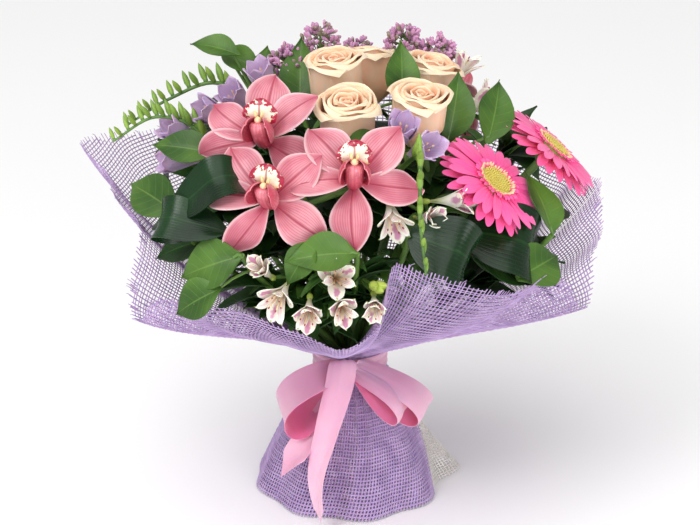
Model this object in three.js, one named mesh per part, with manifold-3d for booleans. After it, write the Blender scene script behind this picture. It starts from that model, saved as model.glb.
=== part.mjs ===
// A hand-tied bouquet of roses, orchids, gerberas, freesias, lilac, alstroemerias and greenery,
// standing on the flared skirt of its lilac net wrap.
// Millimetres, +Z up. The origin is on the ground under the waist, in the cut end of the middle stem.
import * as THREE from "three";
import { mergeVertices } from "three/addons/utils/BufferGeometryUtils.js";
import Module from "manifold-3d";

const wasm = await Module();
wasm.setup();

// Driving dimensions
const GAP = 0.4; // clearance left round every piece
const SMOOTHING = 0.1; // how far a face may move to drop needless triangles
const WAIST_Z = 105; // middle of the tie
const WAIST_HALF = 8; // half the height that the tie holds in
const WAIST_R = 25.6; // net at the waist, middle of its thickness
const CLOTH = 0.8;
const SKIRT_R = 74;
const LINING_TOP_Z = 97;
const STEM_R = 2.6;
const STEM_PITCH = 5.6; // from stem to stem in the bundle
const BUNDLE_R = 20.4; // outside of the bundle at the waist
const MIDDLE_STEM = "rose_top"; // stands on the axis, its cut end at the origin
const FOOT_SPREAD = 1.3; // how much the spiral of stems opens out below the waist
const FOOT_TWIST = 35;
const ROSE_SEAT = 42;
const ORCHID_SEAT = 12;
const GERBERA_SEAT = 7;

// Where each bloom sits: at is its visible centre, aim is [azimuth, elevation] in degrees.
// Azimuth 0 faces the front (-Y) and 90 the right (+X).
const ROSES = [
  { name: "rose_front", at: [-2, -62, 319], aim: [0, 62], roll: 0,
    leaf: { at: [12, -72, 292], aim: [5, 40], roll: 12, size: [36, 22] } },
  { name: "rose_right", at: [51, -45, 320], aim: [20, 66], roll: 40 },
  { name: "rose_top", at: [-13, 0, 335], aim: [-30, 72], roll: 80 },
  { name: "rose_top_right", at: [17, 47, 330], aim: [160, 70], roll: 10 },
  { name: "rose_far_right", at: [64, 18, 328], aim: [70, 66], roll: 60 },
  { name: "rose_back", at: [-33, 92, 312], aim: [195, 50], roll: 20 },
];

// Angles of the five tepals and of the lip, as seen by a viewer whom the orchid faces.
const ORCHIDS = [
  { name: "orchid_upper", spike: "front", at: [-60, -75, 299], aim: [-12, 30],
    tepals: [88, 40, 150, 195, 335], lip: 90 },
  { name: "orchid_lower", spike: "front", at: [-55, -110, 266], aim: [-15, 22],
    tepals: [135, 45, 182, 236, 330], lip: 82 },
  { name: "orchid_middle", spike: "front", at: [3, -112, 281], aim: [0, 28],
    tepals: [130, 50, 187, -8, 270], lip: 90 },
  { name: "orchid_back_right", spike: "back", at: [78, 96, 284], aim: [140, 40],
    tepals: [130, 50, 187, -8, 270], lip: 90 },
];
const SPIKES = [
  { name: "front", end: [-30, -78, 252], aim: [-20, 60] },
  { name: "back", end: [40, 92, 248], aim: [160, 60] },
];

const GERBERAS = [
  { name: "gerbera_front", at: [101, -70, 266], aim: [62, 50] },
  { name: "gerbera_right", at: [148, -8, 273], aim: [86, 50] },
  { name: "gerbera_back", at: [-72, 108, 270], aim: [212, 45] },
];

// Each freesia spray: open funnels, and the arched spike of buds that carries them.
const FREESIAS = [
  { name: "freesia_left",
    funnels: [{ at: [-130, -34, 272], aim: [-70, 4] }, { at: [-128, -20, 291], aim: [-65, 38] }],
    spike: [[-88, -24, 262], [-112, -22, 292], [-140, -20, 299], [-171, -20, 281]] },
  { name: "freesia_upper_left",
    funnels: [{ at: [-85, -10, 313], aim: [-45, 50] }, { at: [-104, -20, 304], aim: [-62, 26] },
      { at: [-66, 14, 324], aim: [-40, 66] }],
    spike: [[-62, 4, 288], [-96, 4, 318], [-131, 2, 307], [-164, 5, 286]] },
  { name: "freesia_middle",
    funnels: [{ at: [36, -77, 308], aim: [10, 50] }, { at: [54, -88, 297], aim: [30, 26] }],
    spike: [[34, -62, 272], [46, -106, 293], [46, -142, 262], [50, -152, 228]] },
];

// Lilac panicles: each is a cone of small buds from its joint out to its tip.
const LILACS = [
  { name: "lilac_left", joint: [-26, 36, 296], tips: [[-22, 62, 345], [-52, 42, 330]] },
  { name: "lilac_right", joint: [40, 56, 292], tips: [[42, 76, 340], [72, 60, 334]] },
  { name: "lilac_back", joint: [4, 94, 276], tips: [[6, 126, 318]] },
];

// Alstroemeria sprays: florets, buds and narrow leaves on one stem.
const ALSTROEMERIAS = [
  { name: "alstroemeria_right", joint: [72, 26, 276],
    florets: [{ at: [88, 46, 324], aim: [100, 62] }, { at: [104, 30, 304], aim: [88, 40] },
      { at: [84, 6, 300], aim: [60, 60] }],
    buds: [] },
  { name: "alstroemeria_middle", joint: [54, -78, 244],
    florets: [{ at: [78, -98, 262], aim: [50, -4] }, { at: [57, -116, 256], aim: [15, 10] },
      { at: [30, -124, 252], aim: [-5, -20] }],
    buds: [] },
  { name: "alstroemeria_left", joint: [-30, -84, 200],
    florets: [{ at: [-62, -130, 226], aim: [-30, 22] }, { at: [-50, -144, 205], aim: [-12, 0] },
      { at: [-28, -147, 196], aim: [8, -4] }],
    buds: [] },
  { name: "alstroemeria_front", joint: [2, -94, 208],
    florets: [{ at: [-8, -134, 228], aim: [-6, 34] }, { at: [-4, -148, 200], aim: [-6, 2] },
      { at: [16, -146, 200], aim: [14, 2] }],
    buds: [[22, -136, 210]] },
];

// Salal sprays: broad leaves, each centred at a point, with its upper face along aim and its tip
// turned by roll from the viewer's right.
const SALALS = [
  { name: "salal_top_left",
    leaves: [{ at: [-66, 42, 318], aim: [-20, 40], roll: 100, size: [52, 27] },
      { at: [-100, 30, 337], aim: [-10, 55], roll: 165, size: [42, 22] }] },
  { name: "salal_top",
    leaves: [{ at: [-37, 22, 322], aim: [-10, 25], roll: 95, size: [58, 30] },
      { at: [37, -4, 327], aim: [10, 30], roll: 85, size: [52, 26] }] },
  { name: "salal_top_right",
    leaves: [{ at: [74, -22, 308], aim: [15, 20], roll: 75, size: [54, 28] },
      { at: [109, -22, 299], aim: [20, 25], roll: 66, size: [52, 30] }] },
  { name: "salal_left",
    leaves: [{ at: [-117, -50, 284], aim: [-15, 40], roll: 176, size: [50, 26] },
      { at: [-139, -62, 252], aim: [-35, 45], roll: 150, size: [58, 34] }] },
  { name: "salal_lower_left",
    leaves: [{ at: [-96, -121, 223], aim: [-20, 30], roll: 203, size: [50, 36] },
      { at: [-103, -129, 200], aim: [-36, 26], roll: 218, size: [42, 30] }] },
  { name: "salal_front",
    leaves: [{ at: [-17, -128, 237], aim: [0, 45], roll: 186, size: [50, 28] },
      { at: [-34, -133, 229], aim: [-10, 26], roll: 239, size: [36, 22] }] },
  { name: "salal_right",
    leaves: [{ at: [134, -54, 246], aim: [60, 45], roll: 60, size: [56, 36] },
      { at: [124, -94, 220], aim: [35, 38], roll: 4, size: [48, 36] }] },
  { name: "salal_back_right",
    leaves: [{ at: [104, 62, 268], aim: [120, 50], roll: 90, size: [56, 38] },
      { at: [66, 122, 262], aim: [150, 50], roll: 100, size: [52, 36] },
      { at: [124, 30, 282], aim: [100, 50], roll: 70, size: [46, 28] }] },
  { name: "salal_back_left",
    leaves: [{ at: [-108, 84, 258], aim: [228, 50], roll: 90, size: [54, 36] },
      { at: [-26, 128, 264], aim: [190, 50], roll: 90, size: [48, 32] },
      { at: [-128, 20, 272], aim: [262, 50], roll: 90, size: [46, 30] },
      { at: [-98, 54, 290], aim: [240, 60], roll: 90, size: [46, 30] }] },
];

// Aspidistra leaves: each is folded over, so that it shows its outer face and a shining fold.
const ASPIDISTRAS = [
  { name: "aspidistra_left", at: [-122, -92, 250], aim: [-30, 40], roll: 38, size: [88, 36] },
  { name: "aspidistra_lower_left", at: [-84, -112, 244], aim: [-32, 45], roll: 186, size: [84, 32] },
  { name: "aspidistra_middle", at: [40, -118, 244], aim: [10, 30], roll: -28, size: [70, 46] },
  { name: "aspidistra_right", at: [76, -96, 242], aim: [30, 38], roll: -32, size: [88, 56] },
  { name: "aspidistra_back", at: [22, 98, 240], aim: [170, 58], roll: 90, size: [76, 46] },
];

// Rim of the net collar, one turn from the front by the right, with its drooping corners.
const RIM = [
  [-5, -155, 176], [19, -146, 188], [30, -140, 229], [54, -149, 226], [87, -141, 213],
  [111, -127, 205], [135, -102, 207], [153, -84, 194], [168, -68, 170], [176, -50, 203],
  [183, -28, 222], [182, -12, 246], [172, 22, 238], [164, 66, 232], [146, 108, 240],
  [108, 144, 262], [54, 166, 274], [0, 172, 264], [-54, 166, 276], [-104, 142, 262],
  [-152, 104, 254], [-178, 52, 264], [-197, 4, 272], [-178, -14, 254], [-165, -36, 238],
  [-147, -62, 228], [-152, -84, 205], [-148, -102, 174], [-134, -112, 194], [-112, -124, 196],
  [-74, -141, 197], [-36, -152, 187],
];
const RIM_AT_RIGHT = 11; // the point of the rim above the net's right side
const WRAP_COLUMNS = RIM.length;
const COLLAR_ROWS = 4;
const SKIRT_ROWS = 2;
const SLIT = { from: 64, to: 122 }; // the skirt's slit at the ground, azimuths
const LINING_BULGE = 20; // how far the lining comes out through the slit

const LOOKS = {
  lilacNet: { color: "#a58cc4", roughness: 0.9 },
  whiteNet: { color: "#e6dcda", roughness: 0.9 },
  ribbon: { color: "#e59cc0", roughness: 0.35 },
  twine: { color: "#b99d6a", roughness: 0.9 },
  peach: { color: "#f2c7a0", roughness: 0.6 },
  stem: { color: "#4f7a35", roughness: 0.6 },
  orchid: { color: "#dc7d90", roughness: 0.5 },
  lip: { color: "#efe3c8", roughness: 0.5 },
  hotPink: { color: "#e8409b", roughness: 0.6 },
  disc: { color: "#c9b84a", roughness: 0.8 },
  mauve: { color: "#a98ed0", roughness: 0.6 },
  lilac: { color: "#9d7fae", roughness: 0.8 },
  cream: { color: "#ece6d8", roughness: 0.6 },
  leaf: { color: "#4a8a35", roughness: 0.5 },
  darkLeaf: { color: "#1e4a22", roughness: 0.25 },
};

const rad = THREE.MathUtils.degToRad;
const point = (x, y, z) => new THREE.Vector3(x, y, z);
const toPoint = (list) => point(...list);
const up = point(0, 0, 1);

// Margin added all round while the clearance body of a piece is built.
let margin = 0;

function facing([azimuth, elevation]) {
  const level = Math.cos(rad(elevation));
  return point(level * Math.sin(rad(azimuth)), -level * Math.cos(rad(azimuth)), Math.sin(rad(elevation)));
}

// Local Z faces out along the aim, local X to the right of a viewer whom it faces, then rolled.
function frameAt(at, aim, roll = 0) {
  const out = facing(aim);
  const right = point(Math.cos(rad(aim[0])), Math.sin(rad(aim[0])), 0);
  const frame = new THREE.Matrix4().makeBasis(right, out.clone().cross(right), out);
  frame.setPosition(...at);
  return frame.multiply(new THREE.Matrix4().makeRotationZ(rad(roll)));
}

// A place on a flower: turned about its axis, then out by a radius and up by a height.
function spoke(frame, angle, radius, height) {
  const turn = new THREE.Matrix4().makeRotationZ(rad(angle));
  return frame.clone().multiply(turn).multiply(new THREE.Matrix4().makeTranslation(radius, 0, height));
}

const moved = (grid, frame) => grid.map((row) => row.map((p) => p.clone().applyMatrix4(frame)));
const lerp = THREE.MathUtils.lerp;

function geometryOf(points, faces) {
  const geometry = new THREE.BufferGeometry();
  geometry.setAttribute("position", new THREE.Float32BufferAttribute(points.flatMap((p) => p.toArray()), 3));
  geometry.setIndex(faces.flat());
  return geometry;
}

// A closed geometry as a solid, with its shared points merged and empty triangles dropped.
function solidOf(geometry) {
  geometry.deleteAttribute("normal");
  geometry.deleteAttribute("uv");
  const merged = mergeVertices(geometry, 1e-3);
  const index = merged.index.array;
  const tris = [];
  for (let k = 0; k < index.length; k += 3) {
    const [a, b, c] = [index[k], index[k + 1], index[k + 2]];
    if (a !== b && b !== c && c !== a) tris.push(a, b, c);
  }
  const make = (triVerts) => new wasm.Manifold(new wasm.Mesh({
    numProp: 3,
    vertProperties: Float32Array.from(merged.attributes.position.array),
    triVerts: Uint32Array.from(triVerts),
  }));
  const body = make(tris);
  return body.volume() > 0 ? body : make(tris.reverse());
}

const fuse = (bodies) => wasm.Manifold.union(bodies);

function largest(body) {
  const bodies = body.decompose();
  return bodies.reduce((best, next) => (next.volume() > best.volume() ? next : best));
}

// A thin body over a grid of points. Its rim is sharp, or as thick as edge says; from row
// closedFrom on, the last column meets the first. Both faces are split into the same triangles.
function sheet(grid, thick, { edge = 0, closedFrom = Infinity } = {}) {
  const rows = grid.length - 1;
  const cols = grid[0].length - 1;
  const closed = (i) => i >= closedFrom;
  const onRim = (i, j) => i === 0 || i === rows || (!closed(i) && (j === 0 || j === cols));
  const left = (i, j) => (j > 0 ? grid[i][j - 1] : closed(i) ? grid[i][cols - 1] : grid[i][0]);
  const right = (i, j) => (j < cols ? grid[i][j + 1] : closed(i) ? grid[i][1] : grid[i][cols]);
  const normalAt = (i, j) => {
    const near = THREE.MathUtils.clamp(i, 1, rows - 1);
    const along = grid[Math.min(near + 1, rows)][j].clone().sub(grid[Math.max(near - 1, 0)][j]);
    const row = i === near ? i : near;
    return right(row, j).clone().sub(left(row, j)).cross(along).normalize();
  };
  const place = (i, j) => {
    const p = grid[i][j].clone();
    const push = (q) => p.distanceTo(q) > 0 && p.addScaledVector(p.clone().sub(q).normalize(), margin);
    if (margin && i === 0) push(grid[1][j]);
    if (margin && i === rows) push(grid[rows - 1][j]);
    if (margin && !closed(i) && j === 0) push(grid[i][1]);
    if (margin && !closed(i) && j === cols) push(grid[i][cols - 1]);
    return p;
  };
  const width = cols + 1;
  const fronts = [];
  const backs = [];
  for (let i = 0; i <= rows; i++) {
    for (let j = 0; j <= cols; j++) {
      const half = (onRim(i, j) ? edge : thick) / 2 + margin;
      const column = closed(i) && j === cols ? 0 : j;
      const p = place(i, column);
      const normal = normalAt(i, column);
      fronts.push(p.clone().addScaledVector(normal, half));
      backs.push(p.clone().addScaledVector(normal, -half));
    }
  }
  const F = (i, j) => i * width + j;
  const B = (i, j) => F(i, j) + fronts.length;
  const faces = [];
  const quad = (a, b, c, d) => faces.push([a, b, c], [a, c, d]);
  for (let i = 0; i < rows; i++) {
    for (let j = 0; j < cols; j++) {
      const corners = [[i, j], [i, j + 1], [i + 1, j + 1], [i + 1, j]];
      const start = onRim(...corners[0]) && onRim(...corners[2]) ? 1 : 0;
      const [a, b, c, d] = [0, 1, 2, 3].map((k) => corners[(k + start) % 4]);
      quad(F(...a), F(...b), F(...c), F(...d));
      faces.push([B(...a), B(...c), B(...b)], [B(...a), B(...d), B(...c)]);
    }
  }
  for (let j = 0; j < cols; j++) {
    quad(F(0, j + 1), F(0, j), B(0, j), B(0, j + 1));
    quad(F(rows, j), F(rows, j + 1), B(rows, j + 1), B(rows, j));
  }
  for (let i = 0; i < Math.min(closedFrom, rows); i++) {
    quad(F(i, 0), F(i + 1, 0), B(i + 1, 0), B(i, 0));
    quad(F(i + 1, cols), F(i, cols), B(i, cols), B(i + 1, cols));
  }
  return solidOf(geometryOf([...fronts, ...backs], faces));
}

// A faceted rod along a path, with a radius for each point; a radius of 0 ends in a tip, and ridge
// is the way that its first edge faces.
function rod(path, radii, sides = 6, { flatFoot = false, ridge } = {}) {
  const last = path.length - 1;
  const radiusAt = (k) => (Array.isArray(radii) ? radii[k] : radii) + margin;
  const tangent = (k) => path[Math.min(k + 1, last)].clone().sub(path[Math.max(k - 1, 0)]).normalize();
  let across = ridge ?? (Math.abs(tangent(0).z) > 0.9 ? point(1, 0, 0) : up.clone());
  const points = [];
  for (let k = 0; k <= last; k++) {
    const along = tangent(k);
    across = across.addScaledVector(along, -across.dot(along)).normalize();
    const other = along.clone().cross(across);
    const centre = path[k].clone();
    if (k === 0) centre.addScaledVector(along, -margin);
    if (k === last) centre.addScaledVector(along, margin);
    for (let s = 0; s < sides; s++) {
      const turn = (2 * Math.PI * s) / sides;
      const p = centre.clone()
        .addScaledVector(across, radiusAt(k) * Math.cos(turn))
        .addScaledVector(other, radiusAt(k) * Math.sin(turn));
      if (flatFoot && k === 0) p.addScaledVector(along, (-margin - p.z) / along.z);
      points.push(p);
    }
  }
  const faces = [];
  for (let s = 0; s < sides; s++) {
    const next = (s + 1) % sides;
    for (let k = 0; k < last; k++) {
      const [a, b] = [k * sides + s, k * sides + next];
      faces.push([a, b, b + sides], [a, b + sides, a + sides]);
    }
    if (s > 0 && next > 0) {
      faces.push([0, next, s], [last * sides, last * sides + s, last * sides + next]);
    }
  }
  return solidOf(geometryOf(points, faces));
}

// A turned body: profile points are [radius, height] along the local Z of the frame. Relief raises
// every other point of its face.
function turned(profile, segments, frame, relief = 0) {
  const middle = (profile[0][1] + profile[profile.length - 1][1]) / 2;
  const grown = profile.map(([r, z]) => new THREE.Vector2(
    r > 0 ? r + margin : 0,
    z + margin * Math.sign(z - middle),
  ));
  const geometry = new THREE.LatheGeometry(grown, segments);
  geometry.rotateX(Math.PI / 2);
  const position = geometry.attributes.position;
  for (let k = 0; k < position.count; k++) {
    const [segment, ring] = [Math.floor(k / profile.length), k % profile.length];
    if (profile[ring][0] > 0 && (segment + ring) % 2) position.setZ(k, position.getZ(k) + relief);
  }
  return solidOf(geometry.applyMatrix4(frame));
}

// A cup whose mouth is parted into lobes. Rings are [radius, height, extra radius, extra height], the
// extras being those of the lobes' tips; the ring numbered rim is its edge, and the inside follows.
function lobed(rings, lobes, rim, frame) {
  const outside = rings.slice(0, rim + 1);
  const used = margin ? [...outside, [0, rings[rim][1] + margin]] : rings;
  const points = used.flatMap(([radius, height, moreRadius = 0, moreHeight = 0], i) => (
    Array.from({ length: 2 * lobes }, (_, k) => {
      const tip = k % 2 === 0 ? 1 : 0;
      const angle = (Math.PI * k) / lobes;
      const reach = radius > 0 ? radius + moreRadius * tip + margin : 0;
      const z = height + moreHeight * tip + (i < 2 ? -margin : 0) + (i === rim ? margin : 0);
      return point(reach * Math.cos(angle), reach * Math.sin(angle), z).applyMatrix4(frame);
    })));
  const count = 2 * lobes;
  const faces = [];
  for (let i = 0; i < used.length - 1; i++) {
    for (let k = 0; k < count; k++) {
      const next = (k + 1) % count;
      const [a, b, c, d] = [i * count + k, i * count + next, (i + 1) * count + next, (i + 1) * count + k];
      faces.push(...(k % 2 ? [[a, b, c], [a, c, d]] : [[a, b, d], [b, c, d]]));
    }
  }
  return solidOf(geometryOf(points, faces));
}

// A band round the bundle, between two radii and two heights.
function band(inner, outer, low, high, segments) {
  const [r0, r1, z0, z1] = [inner - margin, outer + margin, low - margin, high + margin];
  const profile = [[r0, z0], [r1, z0], [r1, z1], [r0, z1], [r0, z0]];
  const geometry = new THREE.LatheGeometry(profile.map((p) => new THREE.Vector2(...p)), segments);
  return solidOf(geometry.rotateX(Math.PI / 2));
}

// The grid of a petal or leaf that starts at the origin and runs out along X, its width along Y.
// bend is its slope in degrees at the start and the end, and late is where the bending begins.
function blade({
  length, width, root = 0.15, lean = 0.8, full = 0.8, bend = [0, 0], late = 0, cup = 0, wave = 0,
  rows = 3, cols = 2,
}) {
  const slope = (s) => rad(lerp(bend[0], bend[1], Math.max(0, (s - late) / (1 - late))));
  const steps = 8;
  const spine = [point(0, 0, 0)];
  for (let k = 1; k <= rows * steps; k++) {
    const angle = slope((k - 0.5) / (rows * steps));
    const step = length / (rows * steps);
    spine.push(spine[k - 1].clone().add(point(step * Math.cos(angle), 0, step * Math.sin(angle))));
  }
  return Array.from({ length: rows + 1 }, (_, i) => {
    const s = i / rows;
    const shape = i === rows ? 0 : Math.sin(Math.PI * s ** lean) ** full;
    const half = (width / 2) * Math.max(shape, root * (1 - s));
    const lift = point(-Math.sin(slope(s)), 0, Math.cos(slope(s)));
    return Array.from({ length: cols + 1 }, (_unused, j) => {
      const side = (2 * j) / cols - 1;
      const ripple = wave * Math.abs(side) * Math.sin(Math.PI * 3 * s + side);
      return spine[i * steps].clone()
        .add(point(0, half * side, 0))
        .addScaledVector(lift, cup * half * side * side + ripple);
    });
  });
}

// A small tapered bud from a point along a direction.
function bud(from, along, length, radius, sides = 4) {
  const at = (share) => from.clone().addScaledVector(along, length * share);
  return rod([at(0), at(0.45), at(1)], [radius * 0.45, radius, 0], sides);
}

// The bundle of stems: at the waist each stands on the side where its flower is, and they are
// pressed together until none overlap; from there they run in a spiral to the ground.
const stemEnds = new Map();
function registerStem(name, end, aim) {
  stemEnds.set(name, { end: end.clone(), aim });
}

function bundlePlaces() {
  const names = [...stemEnds.keys()];
  const reach = ({ end }) => Math.hypot(end.x, end.y);
  const widest = Math.max(...names.map((name) => reach(stemEnds.get(name))));
  const room = BUNDLE_R - STEM_R;
  const places = names.map((name, k) => {
    const { end } = stemEnds.get(name);
    return point(end.x, end.y, 0).multiplyScalar(room / widest).add(point(0.01 * k, 0, 0));
  });
  for (let round = 0; round < 600; round++) {
    places.forEach((a, i) => places.slice(i + 1).forEach((b) => {
      const apart = b.clone().sub(a);
      const short = STEM_PITCH - apart.length();
      if (short <= 0) return;
      apart.setLength(short / 2);
      a.sub(apart);
      b.add(apart);
    }));
    places.forEach((p) => p.length() > room && p.setLength(room));
    places[names.indexOf(MIDDLE_STEM)].set(0, 0, 0);
  }
  return new Map(names.map((name, k) => [name, places[k]]));
}

function stemPath(name) {
  const place = PLACES.get(name);
  const { end, aim } = stemEnds.get(name);
  const below = [0, 0.45].map((share) => {
    const drop = (1 - share) ** 2;
    const foot = place.clone().multiplyScalar(1 + FOOT_SPREAD * drop);
    return foot.applyAxisAngle(up, rad(FOOT_TWIST) * drop).setZ(WAIST_Z * share);
  });
  const tied = place.clone().setZ(WAIST_Z - WAIST_HALF);
  const free = place.clone().setZ(WAIST_Z + WAIST_HALF);
  const way = end.clone().sub(free);
  const curve = new THREE.CubicBezierCurve3(
    free,
    free.clone().addScaledVector(way, 0.35).add(point(0, 0, 0.06 * way.z)),
    end.clone().addScaledVector(facing(aim), -0.16 * way.length()),
    end,
  );
  return [...below, tied, ...curve.getPoints(3)];
}

const roseBase = ({ at, aim }) => toPoint(at).addScaledVector(facing(aim), -ROSE_SEAT);
const orchidBase = ({ at, aim }) => toPoint(at).addScaledVector(facing(aim), -ORCHID_SEAT);
const gerberaBase = ({ at, aim }) => toPoint(at).addScaledVector(facing(aim), -GERBERA_SEAT);
const leafRoot = ({ at, aim, roll, size }) => point(-size[0] / 2, 0, 0).applyMatrix4(frameAt(at, aim, roll));

// Which way a stem points where it carries its flower: from the bundle's heart, half way to the sky.
function outward(end) {
  return [THREE.MathUtils.radToDeg(Math.atan2(end.x, -end.y)), 62];
}

ROSES.forEach((rose) => registerStem(rose.name, roseBase(rose), rose.aim));
SPIKES.forEach(({ name, end, aim }) => registerStem("spike_" + name, toPoint(end), aim));
GERBERAS.forEach((gerbera) => registerStem(gerbera.name, gerberaBase(gerbera), gerbera.aim));
FREESIAS.forEach(({ name, spike }) => registerStem(name, toPoint(spike[0]), outward(toPoint(spike[0]))));
LILACS.forEach(({ name, joint }) => registerStem(name, toPoint(joint), outward(toPoint(joint))));
ALSTROEMERIAS.forEach(({ name, joint }) => registerStem(name, toPoint(joint), outward(toPoint(joint))));
SALALS.forEach(({ name, leaves }) => registerStem(name, leafRoot(leaves[0]), outward(leafRoot(leaves[0]))));
ASPIDISTRAS.forEach(({ name, at, aim }) => registerStem(name, toPoint(at), [aim[0], 70]));
const PLACES = bundlePlaces();

function stem(name, top = STEM_R) {
  const path = stemPath(name);
  const radii = path.map((p) => (p.z < WAIST_Z + WAIST_HALF ? STEM_R : top));
  const ridge = name === MIDDLE_STEM ? point(1, 0, 0) : path[0].clone().normalize();
  return rod(path, radii, 4, { flatFoot: true, ridge });
}

// Point of a stem's path at a share of the length above the waist.
function alongStem(name, share) {
  const path = stemPath(name).filter((p) => p.z >= WAIST_Z);
  return new THREE.CatmullRomCurve3(path).getPoint(share);
}

// Roses
function cupPetal(frame, turn, span, tilt, radii, heights) {
  const cols = 3;
  const grid = radii.map((radius, i) => Array.from({ length: cols + 1 }, (_, j) => {
    const side = j / cols - 0.5;
    const angle = rad(turn + span * side * (i === 0 ? 0.5 : 1));
    const reach = radius + tilt * side * (i === 0 ? 0 : 1); // one edge outside its neighbour, one inside
    const drop = i === 0 ? 0 : 14 * side * side * (i / (radii.length - 1));
    return point(reach * Math.cos(angle), reach * Math.sin(angle), heights[i] - drop);
  }));
  return sheet(moved(grid, frame), 1.3);
}

function roseBloom(rose) {
  const frame = frameAt(roseBase(rose).toArray(), rose.aim, rose.roll);
  const parts = [turned([[0, 0], [6, 0], [15, 12], [11, 34], [7, 45], [0, 43]], 6, frame)];
  for (let k = 0; k < 5; k++) {
    parts.push(cupPetal(frame, 72 * k, 84, 4.5, [10, 23, 27.5], [9, 26, 40]));
  }
  for (let k = 0; k < 3; k++) {
    parts.push(cupPetal(frame, 120 * k + 30, 130, 3.5, [9, 17, 17.5], [16, 32, 46]));
  }
  return fuse(parts);
}

function roseStem(rose) {
  const frame = frameAt(roseBase(rose).toArray(), rose.aim, rose.roll);
  const sepals = [[0, -7], [3, -7], [5, -2, 15, -7], [5, -0.6, 14, -5.5], [0, 2]];
  const parts = [stem(rose.name), lobed(sepals, 5, 4, frame)];
  if (rose.leaf) {
    parts.push(broadLeaf(rose.leaf));
    parts.push(rod([alongStem(rose.name, 0.86), insideRoot(rose.leaf)], 1.3, 4));
  }
  return fuse(parts);
}

// Orchids
function orchidTepals(orchid) {
  const frame = frameAt(orchid.at, orchid.aim);
  const parts = orchid.tepals.map((angle, k) => {
    const broad = k === 0 || k === 1 || k === 4;
    const grid = blade({
      length: 50, width: broad ? 28 : 22, root: 0.2, lean: 1.25, full: 0.8,
      bend: broad ? [26, -24] : [44, -34], cup: 0.2, rows: 3,
    });
    return sheet(moved(grid, spoke(frame, angle, 1, broad ? -7 : -4)), 1.3);
  });
  const lip = rad(orchid.lip);
  const column = [[0, -11], [0, -3], [1, 7], [4, 15], [8, 19]].map(([out, height]) => (
    point(out * Math.cos(lip), out * Math.sin(lip), height).applyMatrix4(frame)));
  parts.push(rod(column, [4, 5.5, 4.5, 5.5, 3], 5));
  return fuse(parts);
}

function orchidLip(orchid) {
  const frame = frameAt(orchid.at, orchid.aim);
  const middle = blade({ length: 34, width: 22, root: 0.5, lean: 1.3, full: 0.6, bend: [70, -24],
    cup: 0.25, rows: 3 });
  const parts = [sheet(moved(middle, spoke(frame, orchid.lip, 9, 2)), 1.4)];
  [-50, 50].forEach((turn) => {
    const side = blade({ length: 26, width: 15, root: 0.6, lean: 0.9, full: 0.6, bend: [80, 60],
      cup: 0.3, rows: 2 });
    parts.push(sheet(moved(side, spoke(frame, orchid.lip + turn, 9, 2)), 1.4));
  });
  const ramp = [-55, 0, 55].map((turn) => {
    const angle = rad(orchid.lip + turn);
    return point(9 * Math.cos(angle), 9 * Math.sin(angle), 4).applyMatrix4(frame);
  });
  parts.push(rod(ramp, 1.6, 4));
  return fuse(parts);
}

function orchidSpike({ name, end }) {
  const parts = [stem("spike_" + name)];
  ORCHIDS.filter(({ spike }) => spike === name).forEach((orchid) => {
    const base = orchidBase(orchid);
    const inner = base.clone().addScaledVector(facing(orchid.aim), -14);
    parts.push(rod([toPoint(end), inner, base], [2.4, 2, 2.4], 5));
  });
  return fuse(parts);
}

// Gerberas
function gerberaRays(gerbera) {
  const frame = frameAt(gerbera.at, gerbera.aim);
  const parts = [turned([[0, -4], [8, -4], [14, -1], [12.5, 2], [0, 2]], 10, frame)];
  const outer = 14;
  for (let k = 0; k < outer; k++) {
    const low = k % 2;
    const grid = blade({ length: 38, width: 12, root: 0.1, lean: 1.5, full: 0.7,
      bend: low ? [2, -20] : [12, -8], rows: 2 });
    parts.push(sheet(moved(grid, spoke(frame, (360 * k) / outer, 8, low ? -3 : -0.6)), 1));
  }
  const inner = 8;
  for (let k = 0; k < inner; k++) {
    const grid = blade({ length: 22, width: 7, root: 0.1, lean: 1.5, full: 0.7, bend: [30, 0], rows: 2 });
    parts.push(sheet(moved(grid, spoke(frame, (360 * (k + 0.5)) / inner, 8, 0.8)), 1));
  }
  return fuse(parts);
}

function gerberaDisc(gerbera) {
  const frame = frameAt(gerbera.at, gerbera.aim);
  return turned([[0, 2.4], [10, 2.4], [12, 4.6], [9.5, 6.4], [6.5, 6.8], [3.5, 6], [0, 5]], 12, frame, 1.1);
}

function gerberaStem(gerbera) {
  const frame = frameAt(gerberaBase(gerbera).toArray(), gerbera.aim);
  return fuse([stem(gerbera.name, 3), turned([[0, -9], [5, -6], [8, 0], [0, 2.2]], 8, frame)]);
}

// Freesias
function funnel({ at, aim }) {
  const rings = [[0, -36], [2, -36], [6, -11, 1, 1], [8, -1, 8, 5], [0, -14]];
  return lobed(rings, 6, 3, frameAt(at, aim));
}

function freesiaSpray({ name, funnels, spike }) {
  const curve = new THREE.CatmullRomCurve3(spike.map(toPoint));
  const arch = curve.getPoints(6);
  const parts = [stem(name, 2), rod(arch, arch.map((_, k) => lerp(2, 0.9, k / 6)), 4)];
  funnels.forEach(({ at, aim }, k) => {
    parts.push(funnel({ at, aim }));
    const back = toPoint(at).addScaledVector(facing(aim), -32);
    parts.push(rod([curve.getPoint(0.02 + 0.1 * k), back], 1.7, 4));
  });
  const buds = 7;
  for (let k = 0; k < buds; k++) {
    const share = 0.4 + (0.58 * k) / (buds - 1);
    const from = curve.getPoint(share);
    const along = curve.getTangent(share).multiplyScalar(0.55).add(up);
    along.add(point(0, k % 2 ? 0.35 : -0.35, 0)).normalize();
    parts.push(bud(from, along, lerp(17, 9, k / buds), lerp(2.6, 1.8, k / buds), 3));
  }
  return fuse(parts);
}

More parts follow.
